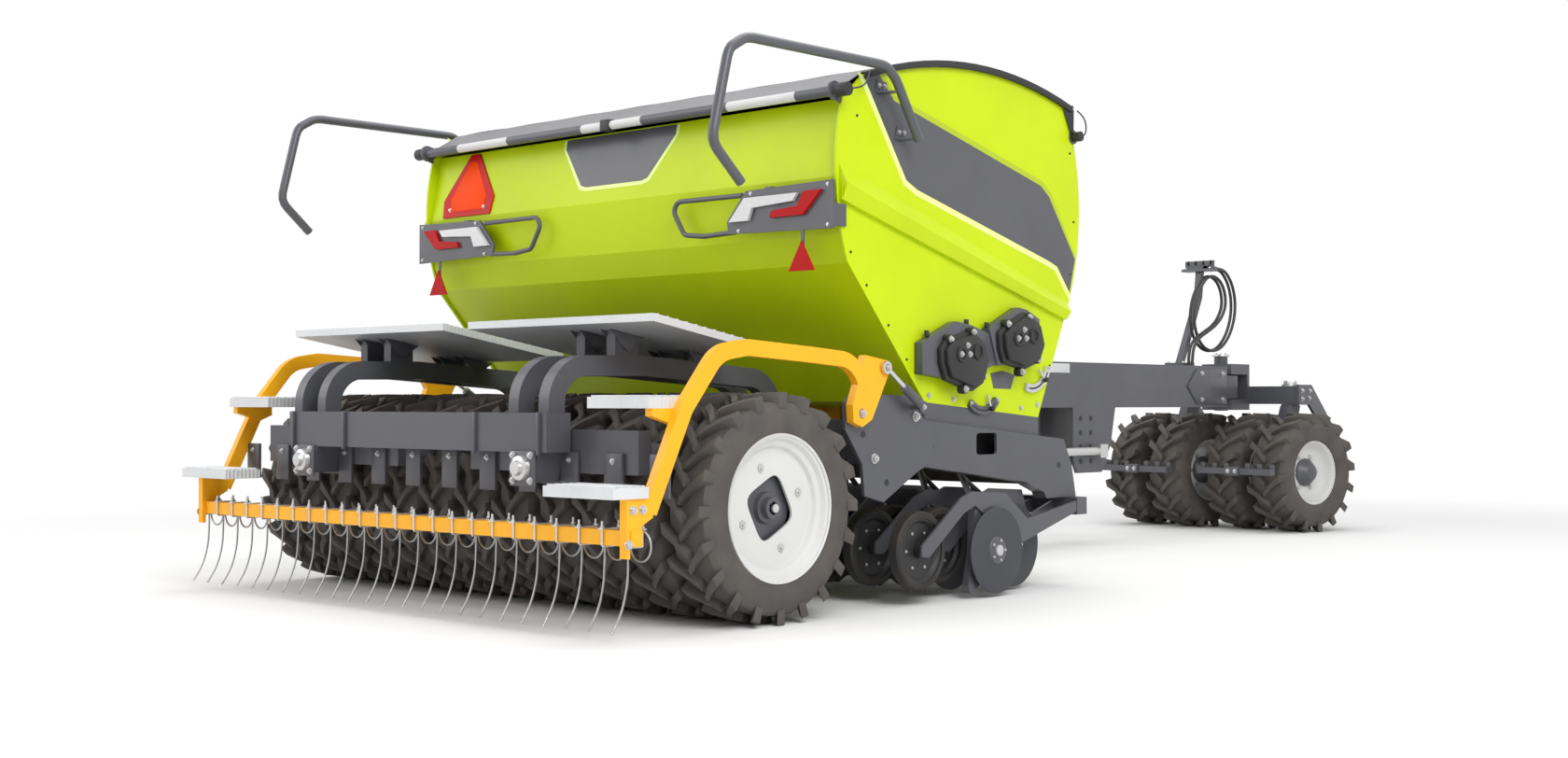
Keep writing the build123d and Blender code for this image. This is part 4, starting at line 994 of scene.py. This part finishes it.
    def _cover(self) -> None:
        """Stretch the tarp over the arch, with its hems, and hang the flap behind it."""
        half = self.half + 0.02
        tarp = Stock()
        bmesh.ops.create_grid(tarp.bm, x_segments=56, y_segments=22, size=1.0)
        for vert in tarp.bm.verts:
            y, z = self._arch((vert.co.y + 1) / 2)
            ripple = 0.0045 * abs(sin(3.5 * pi * (vert.co.x + 1))) * (1 - vert.co.y**2)
            vert.co = spot(vert.co.x * half, y, z + 0.0075 - ripple)
        bmesh.ops.recalc_face_normals(tarp.bm, faces=tarp.bm.faces)
        bmesh.ops.solidify(tarp.bm, geom=tarp.bm.faces[:], thickness=0.003)
        sheet = tarp.piece("tarp_cover", [TARP], "chassis", "tarp", ("hopper_cover",), 60)
        hem = Stock()
        for side in Side:
            edge = [self._arch(step / 16) for step in range(17)]
            strip = [(y, z + 0.009) for y, z in edge] + [(y, z - 0.02) for y, z in reversed(edge)]
            hem.plate(side_view(side.value * (half - 0.016), strip), Vector((side.value * 0.016, 0, 0)))
            tail = [(2.03, 2.235), (2.12, 2.228), (2.118, 2.13), (2.098, 2.11)]
            hem.plate(side_view(side.value * (half - 0.012), tail), Vector((side.value * 0.004, 0, 0)))
        y, z = self._arch(1.0)
        hem.rod(spot(-half, y, z + 0.004), spot(half, y, z + 0.004), 0.009, 0, 10)
        rim = [(-1.372, 2.097, 2.236), (1.372, 2.097, 2.236), (1.372, 2.113, 2.12), (-1.372, 2.113, 2.12)]
        hem.plate([spot(*corner) for corner in rim], Vector((0, 0.003, 0)), 0, 0.0)
        hems = hem.piece("cover_hems", [TARP], "chassis", "tarp", (), 60)
        flap = Stock()
        bmesh.ops.create_grid(flap.bm, x_segments=40, y_segments=6, size=1.0)
        for vert in flap.bm.verts:
            share = (vert.co.y + 1) / 2
            sag = 0.006 * (1 - vert.co.y**2) * (0.6 + 0.4 * cos(9 * vert.co.x))
            vert.co = spot(vert.co.x * 1.366, 0.446 + 0.168 * share + sag * 0.6, 2.118 + 0.096 * share - sag)
        bmesh.ops.recalc_face_normals(flap.bm, faces=flap.bm.faces)
        bmesh.ops.solidify(flap.bm, geom=flap.bm.faces[:], thickness=0.003)
        cloth = flap.piece("rear_flap_cloth", [FLAP], "chassis", "flap", ("rear_flap",), 60)

    def _roll_tube(self) -> None:
        """Make the roll tube in grey and white lengths, with end caps, clips and cords."""
        tube = Stock()
        marks = (-1.39, -1.1, -0.71, -0.17, 0.235, 0.77, 1.165, 1.39)
        for index, (start, end) in enumerate(zip(marks, marks[1:])):
            white = index % 2
            radius = 0.0205 if white else 0.022
            tube.rod(spot(start, *self.tube), spot(end, *self.tube), radius, white, 20)
        for side in Side:
            sign = side.value
            tube.rod(spot(sign * 1.362, *self.tube), spot(sign * 1.372, *self.tube), 0.04, 0, 24, edge=0.002)
            tube.rod(spot(sign * 1.388, *self.tube), spot(sign * 1.445, *self.tube), 0.029, 2, 20, edge=0.006)
            cord = [
                (1.44, 0.43, 2.107), (1.452, 0.49, 2.115), (1.43, 0.56, 2.15), (1.4, 0.61, 2.2),
                (1.39, 0.63, 2.215),
            ]
            tube.wire([spot(sign * x, y, z) for x, y, z in cord], 0.0035, 2, 2)
            clip = [(0.43, 2.147), (0.47, 2.14), (0.53, 2.09), (0.53, 2.05), (0.49, 2.05), (0.43, 2.07)]
            tube.plate(side_view(sign * 1.366, clip), Vector((sign * 0.006, 0, 0)), 0, 0.001)
        y, z = self.tube
        tube.block(spot(-0.03, y - 0.026, z - 0.027), spot(0.03, y + 0.026, z + 0.027), 2, 0.006)
        tube.piece(
            "roll_tube", [GREY, WHITE, PLASTIC], "chassis", "galvanised",
            ("cover_roll_tube", "roll_tube_brackets"),
        )

    def _handrails(self) -> None:
        """Bend the handrails round their corners and bolt their feet to the end plates."""
        rails = Stock()
        places = [Vector(place) for place in self.rail]
        line = [places[0]]
        for before, here, after in zip(places, places[1:], places[2:]):
            for end in (before, after):
                reach = min(0.09, (end - here).length / 2)
                line.append(here + (end - here).normalized() * reach)
            line.insert(-1, here)
        line.append(places[-1])
        for side in Side:
            sign, out = side.value, RIGHTWARD * side.value
            rails.wire([spot(sign * self.rail_offset, *place) for place in line], 0.02, 0, 3)
            for y, z in ((0.733, 2.128), (0.862, 1.948)):
                shelf = [(1.376, y - 0.06), (1.376, y + 0.01), (1.452, y + 0.012), (1.452, y - 0.014)]
                rails.plate([spot(sign * x, station, z) for x, station in shelf], UPWARD * 0.007)
                base = [
                    (y - 0.062, z + 0.003), (y + 0.012, z + 0.003), (y + 0.012, z + 0.05),
                    (y - 0.05, z + 0.056),
                ]
                rails.plate(side_view(sign * 1.377, base), out * 0.006)
                for shift in (-0.038, -0.006):
                    rails.bolt(spot(sign * 1.383, y + shift, z + 0.032), out, 0.007, 1)
        rails.piece("handrail_tubes", [GREY, BOLT], "chassis", "grey_paint", ("handrails",), 50)

    def _fasteners(self) -> None:
        """Set bolts along the end plates, lamp screws, and a cord loop and cap at the front corner."""
        parts = Stock()
        for side in Side:
            sign, out = side.value, RIGHTWARD * side.value
            for y, z in self.foot_bolts:
                parts.bolt(spot(sign * self.half, y, z), out, 0.0095, 0)
            for y, z in self.rivets:
                parts.bolt(spot(sign * self.half, y, z), out, 0.0045, 1)
            for x, z in ((0.86, 1.57), (1.36, 1.565), (1.36, 1.728), (0.93, 1.722)):
                parts.bolt(spot(sign * x, 0.398, z), REARWARD, 0.006, 0)
            loop = [(2.12, 2.22), (2.18, 2.2), (2.2, 2.14), (2.17, 2.1), (2.125, 2.1)]
            parts.wire(side_view(sign * (self.half + 0.03), loop), 0.0035, 1, 2)
            cap = spot(sign * self.half, 2.125, 2.1)
            parts.rod(cap - out * 0.02, cap + out * 0.005, 0.034, 2, 20)
            parts.rod(cap, cap + out * 0.05, 0.024, 1, 18, edge=0.005)
        parts.piece("hopper_fasteners", [BOLT, PLASTIC, GREY], "chassis", "steel")


@dataclass
class MeterDrive:
    """Brackets, gearboxes and levers of the metering drive on the right end plate."""

    wall: float = 1.376
    boxes: tuple[tuple[Point, ...], ...] = (
        (
            (1.027, 1.078), (1.07, 1.121), (1.25, 1.16), (1.336, 1.112), (1.363, 1.031), (1.329, 0.933),
            (1.25, 0.897), (1.063, 0.944), (1.031, 1.012),
        ),
        (
            (1.444, 1.156), (1.49, 1.191), (1.645, 1.256), (1.754, 1.21), (1.79, 1.109), (1.746, 1.03),
            (1.632, 0.994), (1.478, 1.026), (1.451, 1.087),
        ),
    )
    brackets: tuple[tuple[Point, ...], ...] = (
        (
            (0.93, 1.102), (0.983, 1.125), (1.166, 1.199), (1.277, 1.185), (1.398, 1.155), (1.45, 1.019),
            (1.21, 0.94), (0.93, 0.969),
        ),
        (
            (1.4, 1.175), (1.625, 1.276), (1.685, 1.268), (1.783, 1.229), (1.782, 1.1), (1.6, 1.02),
            (1.46, 1.012),
        ),
    )
    ears: tuple[Point, ...] = ((-0.118, 0.085), (0.043, 0.12), (-0.015, -0.127), (0.114, -0.068))
    hubs: tuple[Point, ...] = ((-0.061, 0.022), (-0.017, 0.061), (-0.002, 0.023), (0.058, 0.035))
    middles: tuple[Point, ...] = ((1.201, 1.034), (1.618, 1.113))

    def build(self) -> None:
        """Make the stand-off brackets, the two gearboxes and the setting levers."""
        stands = Stock()
        for index, outline in enumerate(self.brackets):
            depth = Vector((0.046 + 0.003 * index, 0, 0))
            stands.plate(side_view(self.wall, outline), depth, 0, 0.003)
        window = ((1.47, 0.979), (1.563, 0.991), (1.654, 0.974), (1.622, 0.91), (1.493, 0.912))
        stands.plate(side_view(self.wall, window), Vector((0.0015, 0, 0)), 0, 0.0)
        for y, z in ((0.985, 1.137), (1.262, 1.193), (1.41, 1.185)):
            foot = spot(self.wall + 0.025, y, z - 0.008)
            stands.rod(foot, foot + UPWARD * 0.026, 0.011, 1, 14, edge=0.002)
        stands.piece("drive_stands", [GREY, PLASTIC], "chassis", "grey_paint", ("gearbox_brackets",))
        covers = Stock()
        for outline, (y, z) in zip(self.boxes, self.middles):
            self._gearbox(covers, outline, spot(self.wall, y, z))
        covers.piece("drive_covers", [PLASTIC, BOLT], "chassis", "black_plastic", ("gearbox_covers",))
        levers = Stock()
        for y, z, start, finish in ((1.77, 1.05, -1.9, 1), (1.40, 0.95, -2.3, 0)):
            self._quadrant(levers, y, z, start, finish)
        levers.piece("drive_levers", [GREY, BOLT, PLASTIC], "chassis", "grey_paint")

    def _gearbox(self, covers: Stock, outline: tuple[Point, ...], middle: Vector) -> None:
        """Add a gearbox with its flange, raised cover, screws and shaft ends.

        Args:
            covers: The piece that gets it.
            outline: Its outline as stations and heights.
            middle: Its middle on the end plate.
        """
        out = RIGHTWARD
        flange = side_view(self.wall + 0.04, outline)
        covers.plate(flange, out * 0.03, 0, 0.006)
        lid = [middle + out * 0.066 + (corner - middle - out * 0.04) * 0.87 for corner in flange]
        covers.plate(lid, out * 0.026, 0, 0.009)
        for y, z in self.ears:
            ear = middle + Vector((0.045, y, z))
            covers.rod(ear, ear + out * 0.034, 0.021, 0, 16, edge=0.003)
            covers.bolt(ear + out * 0.034, out, 0.011, 1)
        ring = [(0.0, 0.0), (0.0, 0.036), (0.01, 0.034), (0.01, 0.024), (0.004, 0.022), (0.004, 0.0)]
        for index, (y, z) in enumerate(self.hubs):
            hub = middle + Vector((0.09, y, z))
            if index in (0, 3):
                covers.turned(ring, hub, out)
            if index < 3:
                covers.bolt(hub + out * 0.002, out, 0.010, 1)

    def _quadrant(self, levers: Stock, station: float, height: float, start: float, finish: int) -> None:
        """Add a curved, slotted setting plate with its pointer and knob.

        Args:
            levers: The piece that gets it.
            station: Distance of its middle ahead of the axle.
            height: Height of its middle.
            start: Angle in radians where its arc begins.
            finish: Index of the plate's finish.
        """
        out = RIGHTWARD
        middle = spot(self.wall, station, height)
        turns = [start + 0.16 * step for step in range(11)]
        ray = [Vector((0, cos(turn), sin(turn))) for turn in turns]
        slot = ray[1:-1]
        levers.plate(
            [middle + way * 0.155 for way in ray] + [middle + way * 0.118 for way in reversed(ray)],
            out * 0.016, finish, 0.001,
        )
        levers.plate(
            [middle + way * 0.141 for way in slot] + [middle + way * 0.133 for way in reversed(slot)],
            out * 0.0168, 2, 0.0,
        )
        knob = middle + ray[7] * 0.137
        levers.rod(middle + ray[7] * 0.07 + out * 0.018, knob + out * 0.018, 0.006, 1, 10)
        levers.rod(knob, knob + out * 0.034, 0.012, 2, 14, edge=0.002)
        for way in (ray[0], ray[-1]):
            levers.bolt(middle + way * 0.137 + out * 0.016, out, 0.007, 1)


@dataclass
class Packer:
    """Bearings, scrapers and fasteners of the rear packer, and the platforms' strips and brackets."""

    pivot_height: float = 0.6
    pivot_offset: float = 0.75
    beam_rear: float = -0.66

    def build(self) -> None:
        """Make the pivot bearings, beam ribs, scrapers and the platforms' details."""
        parts = Stock()
        for side in Side:
            sign = side.value
            x = sign * self.pivot_offset
            low = spot(x - 0.075, self.beam_rear - 0.012, 0.53)
            parts.block(low, low + Vector((0.15, 0.012, 0.135)), 0, 0.004)
            parts.turned(
                [(0.012, 0.0), (0.012, 0.05), (0.03, 0.046), (0.034, 0.03), (0.05, 0.026), (0.052, 0.0)],
                spot(x, self.beam_rear, self.pivot_height), REARWARD, 1, 32,
            )
            for dx, dz in ((-0.052, -0.048), (0.052, -0.048), (-0.052, 0.048), (0.052, 0.048)):
                parts.bolt(spot(x + dx, self.beam_rear - 0.012, self.pivot_height + dz), REARWARD, 0.011, 1)
            for place in (0.45, 0.84):
                rib = spot(sign * place - 0.006, self.beam_rear - 0.014, 0.65)
                parts.block(rib, rib + Vector((0.012, 0.014, 0.162)), 0, 0.002)
            outline = [(-0.47, 0.70), (-0.47, 0.60), (-0.36, 0.62), (-0.30, 0.66), (-0.33, 0.69)]
            for index in (1, 3, 5):
                parts.plate(side_view(sign * 0.25 * index - 0.006, outline), RIGHTWARD * 0.012, 0, 0.002)
            for index in range(6):
                tyre = sign * (0.125 + 0.25 * index)
                parts.block(spot(tyre - 0.05, -0.545, 0.50), spot(tyre + 0.05, -0.53, 0.66), 0, 0.003)
                parts.bolt(spot(tyre, -0.545, 0.63), REARWARD, 0.009, 1)
            self._platform(parts, sign)
        parts.piece("packer_details", [GREY, BOLT, ZINC], "chassis", "grey_paint")

    @staticmethod
    def _platform(parts: Stock, sign: int) -> None:
        """Add the grip strips on top of one platform and the brackets under it.

        Args:
            parts: The piece that gets them.
            sign: -1 on the left, 1 on the right.
        """
        inner, outer = sign * 0.09, sign * 1.21
        for step in range(13):
            station = -0.40 + 0.05 * step
            top = 1.184 - 0.1727 * (station + 0.42)
            start = spot(inner, station, top - 0.004)
            parts.block(start, spot(outer, station + 0.012, top + 0.003), 2, 0.001)
        for place in (0.66, 0.84):
            for station in (-0.24, 0.18):
                under = 1.184 - 0.1727 * (station + 0.42) - 0.03
                x = sign * place
                gusset = [
                    (station - 0.09, under + 0.014), (station + 0.09, under - 0.017),
                    (station, under - 0.075),
                ]
                for edge in (x - 0.031, x + 0.025):
                    parts.plate(side_view(edge, gusset), RIGHTWARD * 0.006, 0, 0.001)


@dataclass
class Drawbar:
    """Strip, holes and fasteners of the drawbar, hitch and hose rack."""

    half: float = 0.13

    def build(self) -> None:
        """Make the drawbar's trim, the hitch's fasteners and the rack's slots, with black discs and a black
        plate as painted shade in the holes and side windows.
        """
        parts = Stock()
        for side in Side:
            sign = side.value
            out = Vector((sign, 0, 0))
            # Black discs in the drawbar's holes: painted shade of the beam's dark inside.
            for row in range(4):
                for column in range(2):
                    hole = spot(sign * self.half, 4.07 + 0.11 * column, 0.50 + 0.085 * row)
                    parts.rod(hole - out * 0.002, hole + out * 0.0012, 0.017, 3, 18)
            strip = spot(sign * self.half, 2.2, 1.025)
            parts.block(strip, strip + Vector((sign * 0.005, 1.75, 0.055)), 2, 0.001)
            # Black plate behind each side window: painted shade in place of the dark space seen through it.
            parts.block(spot(sign * 1.3, 1.30, 0.605), spot(sign * 1.306, 1.72, 0.76), 3, 0.001)
            # Black discs in the holes of the frame's sides: painted shade of the dark inside.
            for y, z, x in ((1.02, 0.66, 1.4), (1.97, 0.56, 1.4), (0.70, 0.52, 1.416), (0.55, 0.72, 1.416)):
                hole = spot(sign * x, y, z)
                parts.rod(hole - out * 0.002, hole + out * 0.0012, 0.014, 3, 18)
            for y, z in ((0.89, 0.79), (0.62, 0.62)):
                parts.bolt(spot(sign * 1.416, y, z), out, 0.016, 1)
            cheek = [(5.42, 1.07), (5.80, 1.07), (5.80, 0.84), (5.42, 0.84), (5.30, 0.955)]
            parts.plate(side_view(sign * self.half, cheek), out * 0.01, 0, 0.002)
            for y, z in ((5.47, 1.04), (5.74, 1.04), (5.47, 0.87), (5.74, 0.87)):
                parts.bolt(spot(sign * (self.half + 0.01), y, z), out, 0.012, 1)
            parts.rod(spot(sign * 0.175, 3.27, 0.56), spot(sign * 0.175, 3.31, 0.56), 0.05, 0, 24, edge=0.003)
        parts.piece("drawbar_details", [GREY, BOLT, ZINC, PLASTIC], "chassis", "grey_paint")
        self._rack()
        hitch = Stock()
        pin = spot(0, 5.97, 1.16)
        hitch.rod(pin, pin + UPWARD * 0.014, 0.06, 1, 28, edge=0.002)
        for index in range(3):
            angle = 2 * pi * index / 3
            seat = pin + Vector((0.035 * cos(angle), 0.035 * sin(angle), 0.014))
            hitch.bolt(seat, UPWARD, 0.009, 1)
        for side in Side:
            sign = side.value
            out = Vector((sign, 0, 0))
            for y, z in ((6.19, 0.93), (6.19, 0.875), (6.30, 0.93), (6.29, 0.88)):
                hitch.bolt(spot(sign * 0.48, y, z), out, 0.012, 1)
            eye = spot(sign * 0.48, 6.775, 0.515)
            hitch.turned([(0.0, 0.0195), (0.0, 0.038), (0.007, 0.036), (0.009, 0.0195)], eye, out, 1, 32)
        hitch.piece("hitch_fasteners", [GREY, BOLT], "hitch", "grey_paint")

    @staticmethod
    def _rack() -> None:
        """Make the rack plate's slots, its clamp bolts, the base bolts and the couplings' nuts."""
        rack = Stock()
        for index in range(4):
            x = -0.084 + 0.056 * index
            for start, end in ((5.699, 5.7012), (5.6888, 5.691)):
                rack.rod(spot(x, start, 1.775), spot(x, end, 1.775), 0.012, 1, 16)
                rack.block(spot(x - 0.005, start, 1.775), spot(x + 0.005, end, 1.796), 1, 0.0)
        for x in (-0.09, 0.09):
            rack.bolt(spot(x, 5.665, 1.74), UPWARD, 0.009, 2)
        for x in (-0.055, 0.055):
            for y in (5.38, 5.48):
                rack.bolt(spot(x, y, 1.11), UPWARD, 0.009, 2)
        for x in (0.042, 0.072):
            rack.rod(spot(x, 5.76, 1.745), spot(x, 5.785, 1.745), 0.0135, 2, 6, edge=0.001)
            rack.rod(spot(x, 5.69, 1.745), spot(x, 5.702, 1.745), 0.017, 2, 18)
        rack.piece("rack_details", [GREY, PLASTIC, BOLT], "chassis", "grey_paint")


@dataclass
class Hoses:
    """The two hydraulic hoses, out of the drawbar and round to the rack's couplings."""

    diameter: float = 0.02
    length: float = 2.531
    route: tuple[Point, ...] = (
        (5.400, 1.090), (5.400, 1.195), (5.465, 1.270), (5.570, 1.315), (5.680, 1.360), (5.775, 1.420),
        (5.840, 1.495), (5.848, 1.580), (5.808, 1.655), (5.730, 1.693), (5.644, 1.681), (5.579, 1.623),
        (5.520, 1.540), (5.490, 1.430), (5.505, 1.325), (5.575, 1.235), (5.690, 1.190), (5.830, 1.205),
        (5.950, 1.290), (6.025, 1.410), (6.040, 1.540), (5.995, 1.655), (5.910, 1.730), (5.835, 1.745),
        (5.780, 1.745),
    )
    left: tuple[float, ...] = (
        0.084, 0.084, 0.092, 0.1, 0.1, 0.09, 0.081, 0.073, 0.066, 0.06, 0.054, 0.049, 0.045, *(0.042,) * 12,
    )
    right: tuple[float, ...] = (
        0.112, 0.112, 0.12, 0.126, 0.126, 0.118, 0.11, 0.102, 0.095, 0.089, 0.084, 0.079, 0.075,
        *(0.072,) * 12,
    )

    def build(self) -> None:
        """Make both hoses as curve cords."""
        for name, sides in (("hose_left", self.left), ("hose_right", self.right)):
            curve = bpy.data.curves.new(f"{name}_line", "CURVE")
            curve.dimensions = "3D"
            curve.bevel_depth = self.diameter / 2
            curve.bevel_resolution = 4
            curve.resolution_u = 8
            curve.use_fill_caps = True
            spline = curve.splines.new("NURBS")
            spline.points.add(len(self.route) - 1)
            points = [spot(x, *place) for x, place in zip(sides, self.route)]
            for knot, point in zip(spline.points, points):
                knot.co = (*point, 1.0)
            spline.order_u = 3
            spline.use_endpoint_u = True
            curve.materials.append(HOSE.material())
            item = bpy.data.objects.new(f"{name}_line", curve)
            bpy.context.scene.collection.objects.link(item)
            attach(item, "chassis")
            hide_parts(name)
            log.info("%s: %d points", item.name, len(points))


@dataclass
class Studio:
    """Pale floor, soft light and the camera."""

    lens: float = 41.58
    eye: tuple[float, float, float] = (6.168, -8.040, 0.847)
    tilt: float = 90.76
    heading: float = 42.79

    def build(self) -> None:
        """Make the floor, the lights, the world and the camera."""
        scene = bpy.context.scene
        scene.view_settings.view_transform = "Standard"
        self._floor()
        self._world()
        for name, place, size, power in (
            ("key", (8.8, -5.4, 7.5), 6.0, 720.0),
            ("fill", (-6.0, -8.0, 5.0), 6.0, 240.0),
            ("top", (0.0, 0.0, 9.0), 8.0, 420.0),
        ):
            light = bpy.data.lights.new(name, "AREA")
            light.size, light.energy = size, power
            lamp = bpy.data.objects.new(name, light)
            lamp.location = place
            lamp.rotation_euler = (Vector((0, -1.5, 0.8)) - Vector(place)).to_track_quat("-Z", "Y").to_euler()
            scene.collection.objects.link(lamp)
        camera = bpy.data.cameras.new("camera")
        camera.sensor_fit, camera.sensor_width, camera.lens = "HORIZONTAL", 36.0, self.lens
        camera.clip_end = 400.0
        holder = bpy.data.objects.new("camera", camera)
        holder.location = self.eye
        holder.rotation_euler = (radians(self.tilt), 0.0, radians(self.heading))
        scene.collection.objects.link(holder)
        scene.camera = holder

    @staticmethod
    def _floor() -> None:
        """Lay a wide pale floor that the camera sees fade to white far from the machine."""
        part = bmesh.new()
        bmesh.ops.create_grid(part, x_segments=1, y_segments=1, size=120.0)
        mesh = bpy.data.meshes.new("floor")
        part.to_mesh(mesh)
        part.free()
        paper = Finish("floor_paper", (0.87, 0.87, 0.87), roughness=0.8, mottle=0.006, relief=0.0).material()
        tree = paper.node_tree
        where = tree.nodes.new("ShaderNodeTexCoord")
        reach = tree.nodes.new("ShaderNodeVectorMath")
        reach.operation = "LENGTH"
        fade = tree.nodes.new("ShaderNodeMapRange")
        fade.interpolation_type = "SMOOTHSTEP"
        fade.inputs["From Min"].default_value = 4.0
        fade.inputs["From Max"].default_value = 8.0
        share = tree.nodes.new("ShaderNodeMath")
        share.operation = "MULTIPLY"
        glow = tree.nodes.new("ShaderNodeEmission")
        mix = tree.nodes.new("ShaderNodeMixShader")
        tree.links.new(where.outputs["Object"], reach.inputs[0])
        tree.links.new(reach.outputs["Value"], fade.inputs["Value"])
        tree.links.new(fade.outputs["Result"], share.inputs[0])
        tree.links.new(Studio._seen(tree), share.inputs[1])
        tree.links.new(share.outputs["Value"], mix.inputs["Fac"])
        tree.links.new(tree.nodes["Principled BSDF"].outputs["BSDF"], mix.inputs[1])
        tree.links.new(glow.outputs["Emission"], mix.inputs[2])
        tree.links.new(mix.outputs["Shader"], tree.nodes["Material Output"].inputs["Surface"])
        mesh.materials.append(paper)
        floor = bpy.data.objects.new("floor", mesh)
        bpy.context.scene.collection.objects.link(floor)

    @staticmethod
    def _seen(tree: bpy.types.NodeTree) -> bpy.types.NodeSocket:
        """Add the nodes that tell the rays that see the background.

        Args:
            tree: Nodes of the floor's material or the world.

        Returns:
            The socket that is 1 for camera, glossy and transmission rays.
        """
        path = tree.nodes.new("ShaderNodeLightPath")
        seen = path.outputs["Is Camera Ray"]
        for ray in ("Is Glossy Ray", "Is Transmission Ray"):
            either = tree.nodes.new("ShaderNodeMath")
            either.operation = "MAXIMUM"
            tree.links.new(seen, either.inputs[0])
            tree.links.new(path.outputs[ray], either.inputs[1])
            seen = either.outputs["Value"]
        return seen

    @staticmethod
    def _world() -> None:
        """Light the scene evenly, and show white behind it."""
        world = bpy.data.worlds.new("studio")
        bpy.context.scene.world = world
        world.use_nodes = True
        tree = world.node_tree
        tree.nodes.clear()
        seen = tree.nodes.new("ShaderNodeBackground")
        seen.inputs["Color"].default_value = (1, 1, 1, 1)
        lit = tree.nodes.new("ShaderNodeBackground")
        lit.inputs["Color"].default_value = (1, 1, 1, 1)
        lit.inputs["Strength"].default_value = 0.55
        mix = tree.nodes.new("ShaderNodeMixShader")
        out = tree.nodes.new("ShaderNodeOutputWorld")
        tree.links.new(Studio._seen(tree), mix.inputs["Fac"])
        tree.links.new(lit.outputs["Background"], mix.inputs[1])
        tree.links.new(seen.outputs["Background"], mix.inputs[2])
        tree.links.new(mix.outputs["Shader"], out.inputs["Surface"])


def dress_nodes() -> None:
    """Give every node of the frame the finish of its material slot."""
    for part in frame["record"]["subparts"]:
        node = frame["nodes"][part["node"]]
        finish = NODE_FINISHES[part["material_slot"]]
        node.data.materials.clear()
        node.data.materials.append(finish.material())
        log.info("%s: %s", part["node"], finish.name)


def corners(box: tuple[Vector, Vector]) -> list[list[float]]:
    """Give a box's two corners as plain numbers."""
    return [[float(part) for part in corner] for corner in box]


def main() -> None:
    """Build the scene in order."""
    logging.basicConfig(level=logging.INFO, format="%(message)s")
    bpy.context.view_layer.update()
    Studio().build()
    dress_nodes()
    Hoses().build()
    for side in Side:
        RearGang(side).build()
        FrontPair(side).build()
    Coulters().build()
    Harrow().build()
    Hopper().build()
    MeterDrive().build()
    Packer().build()
    Drawbar().build()


if __name__ == "__main__":
    main()
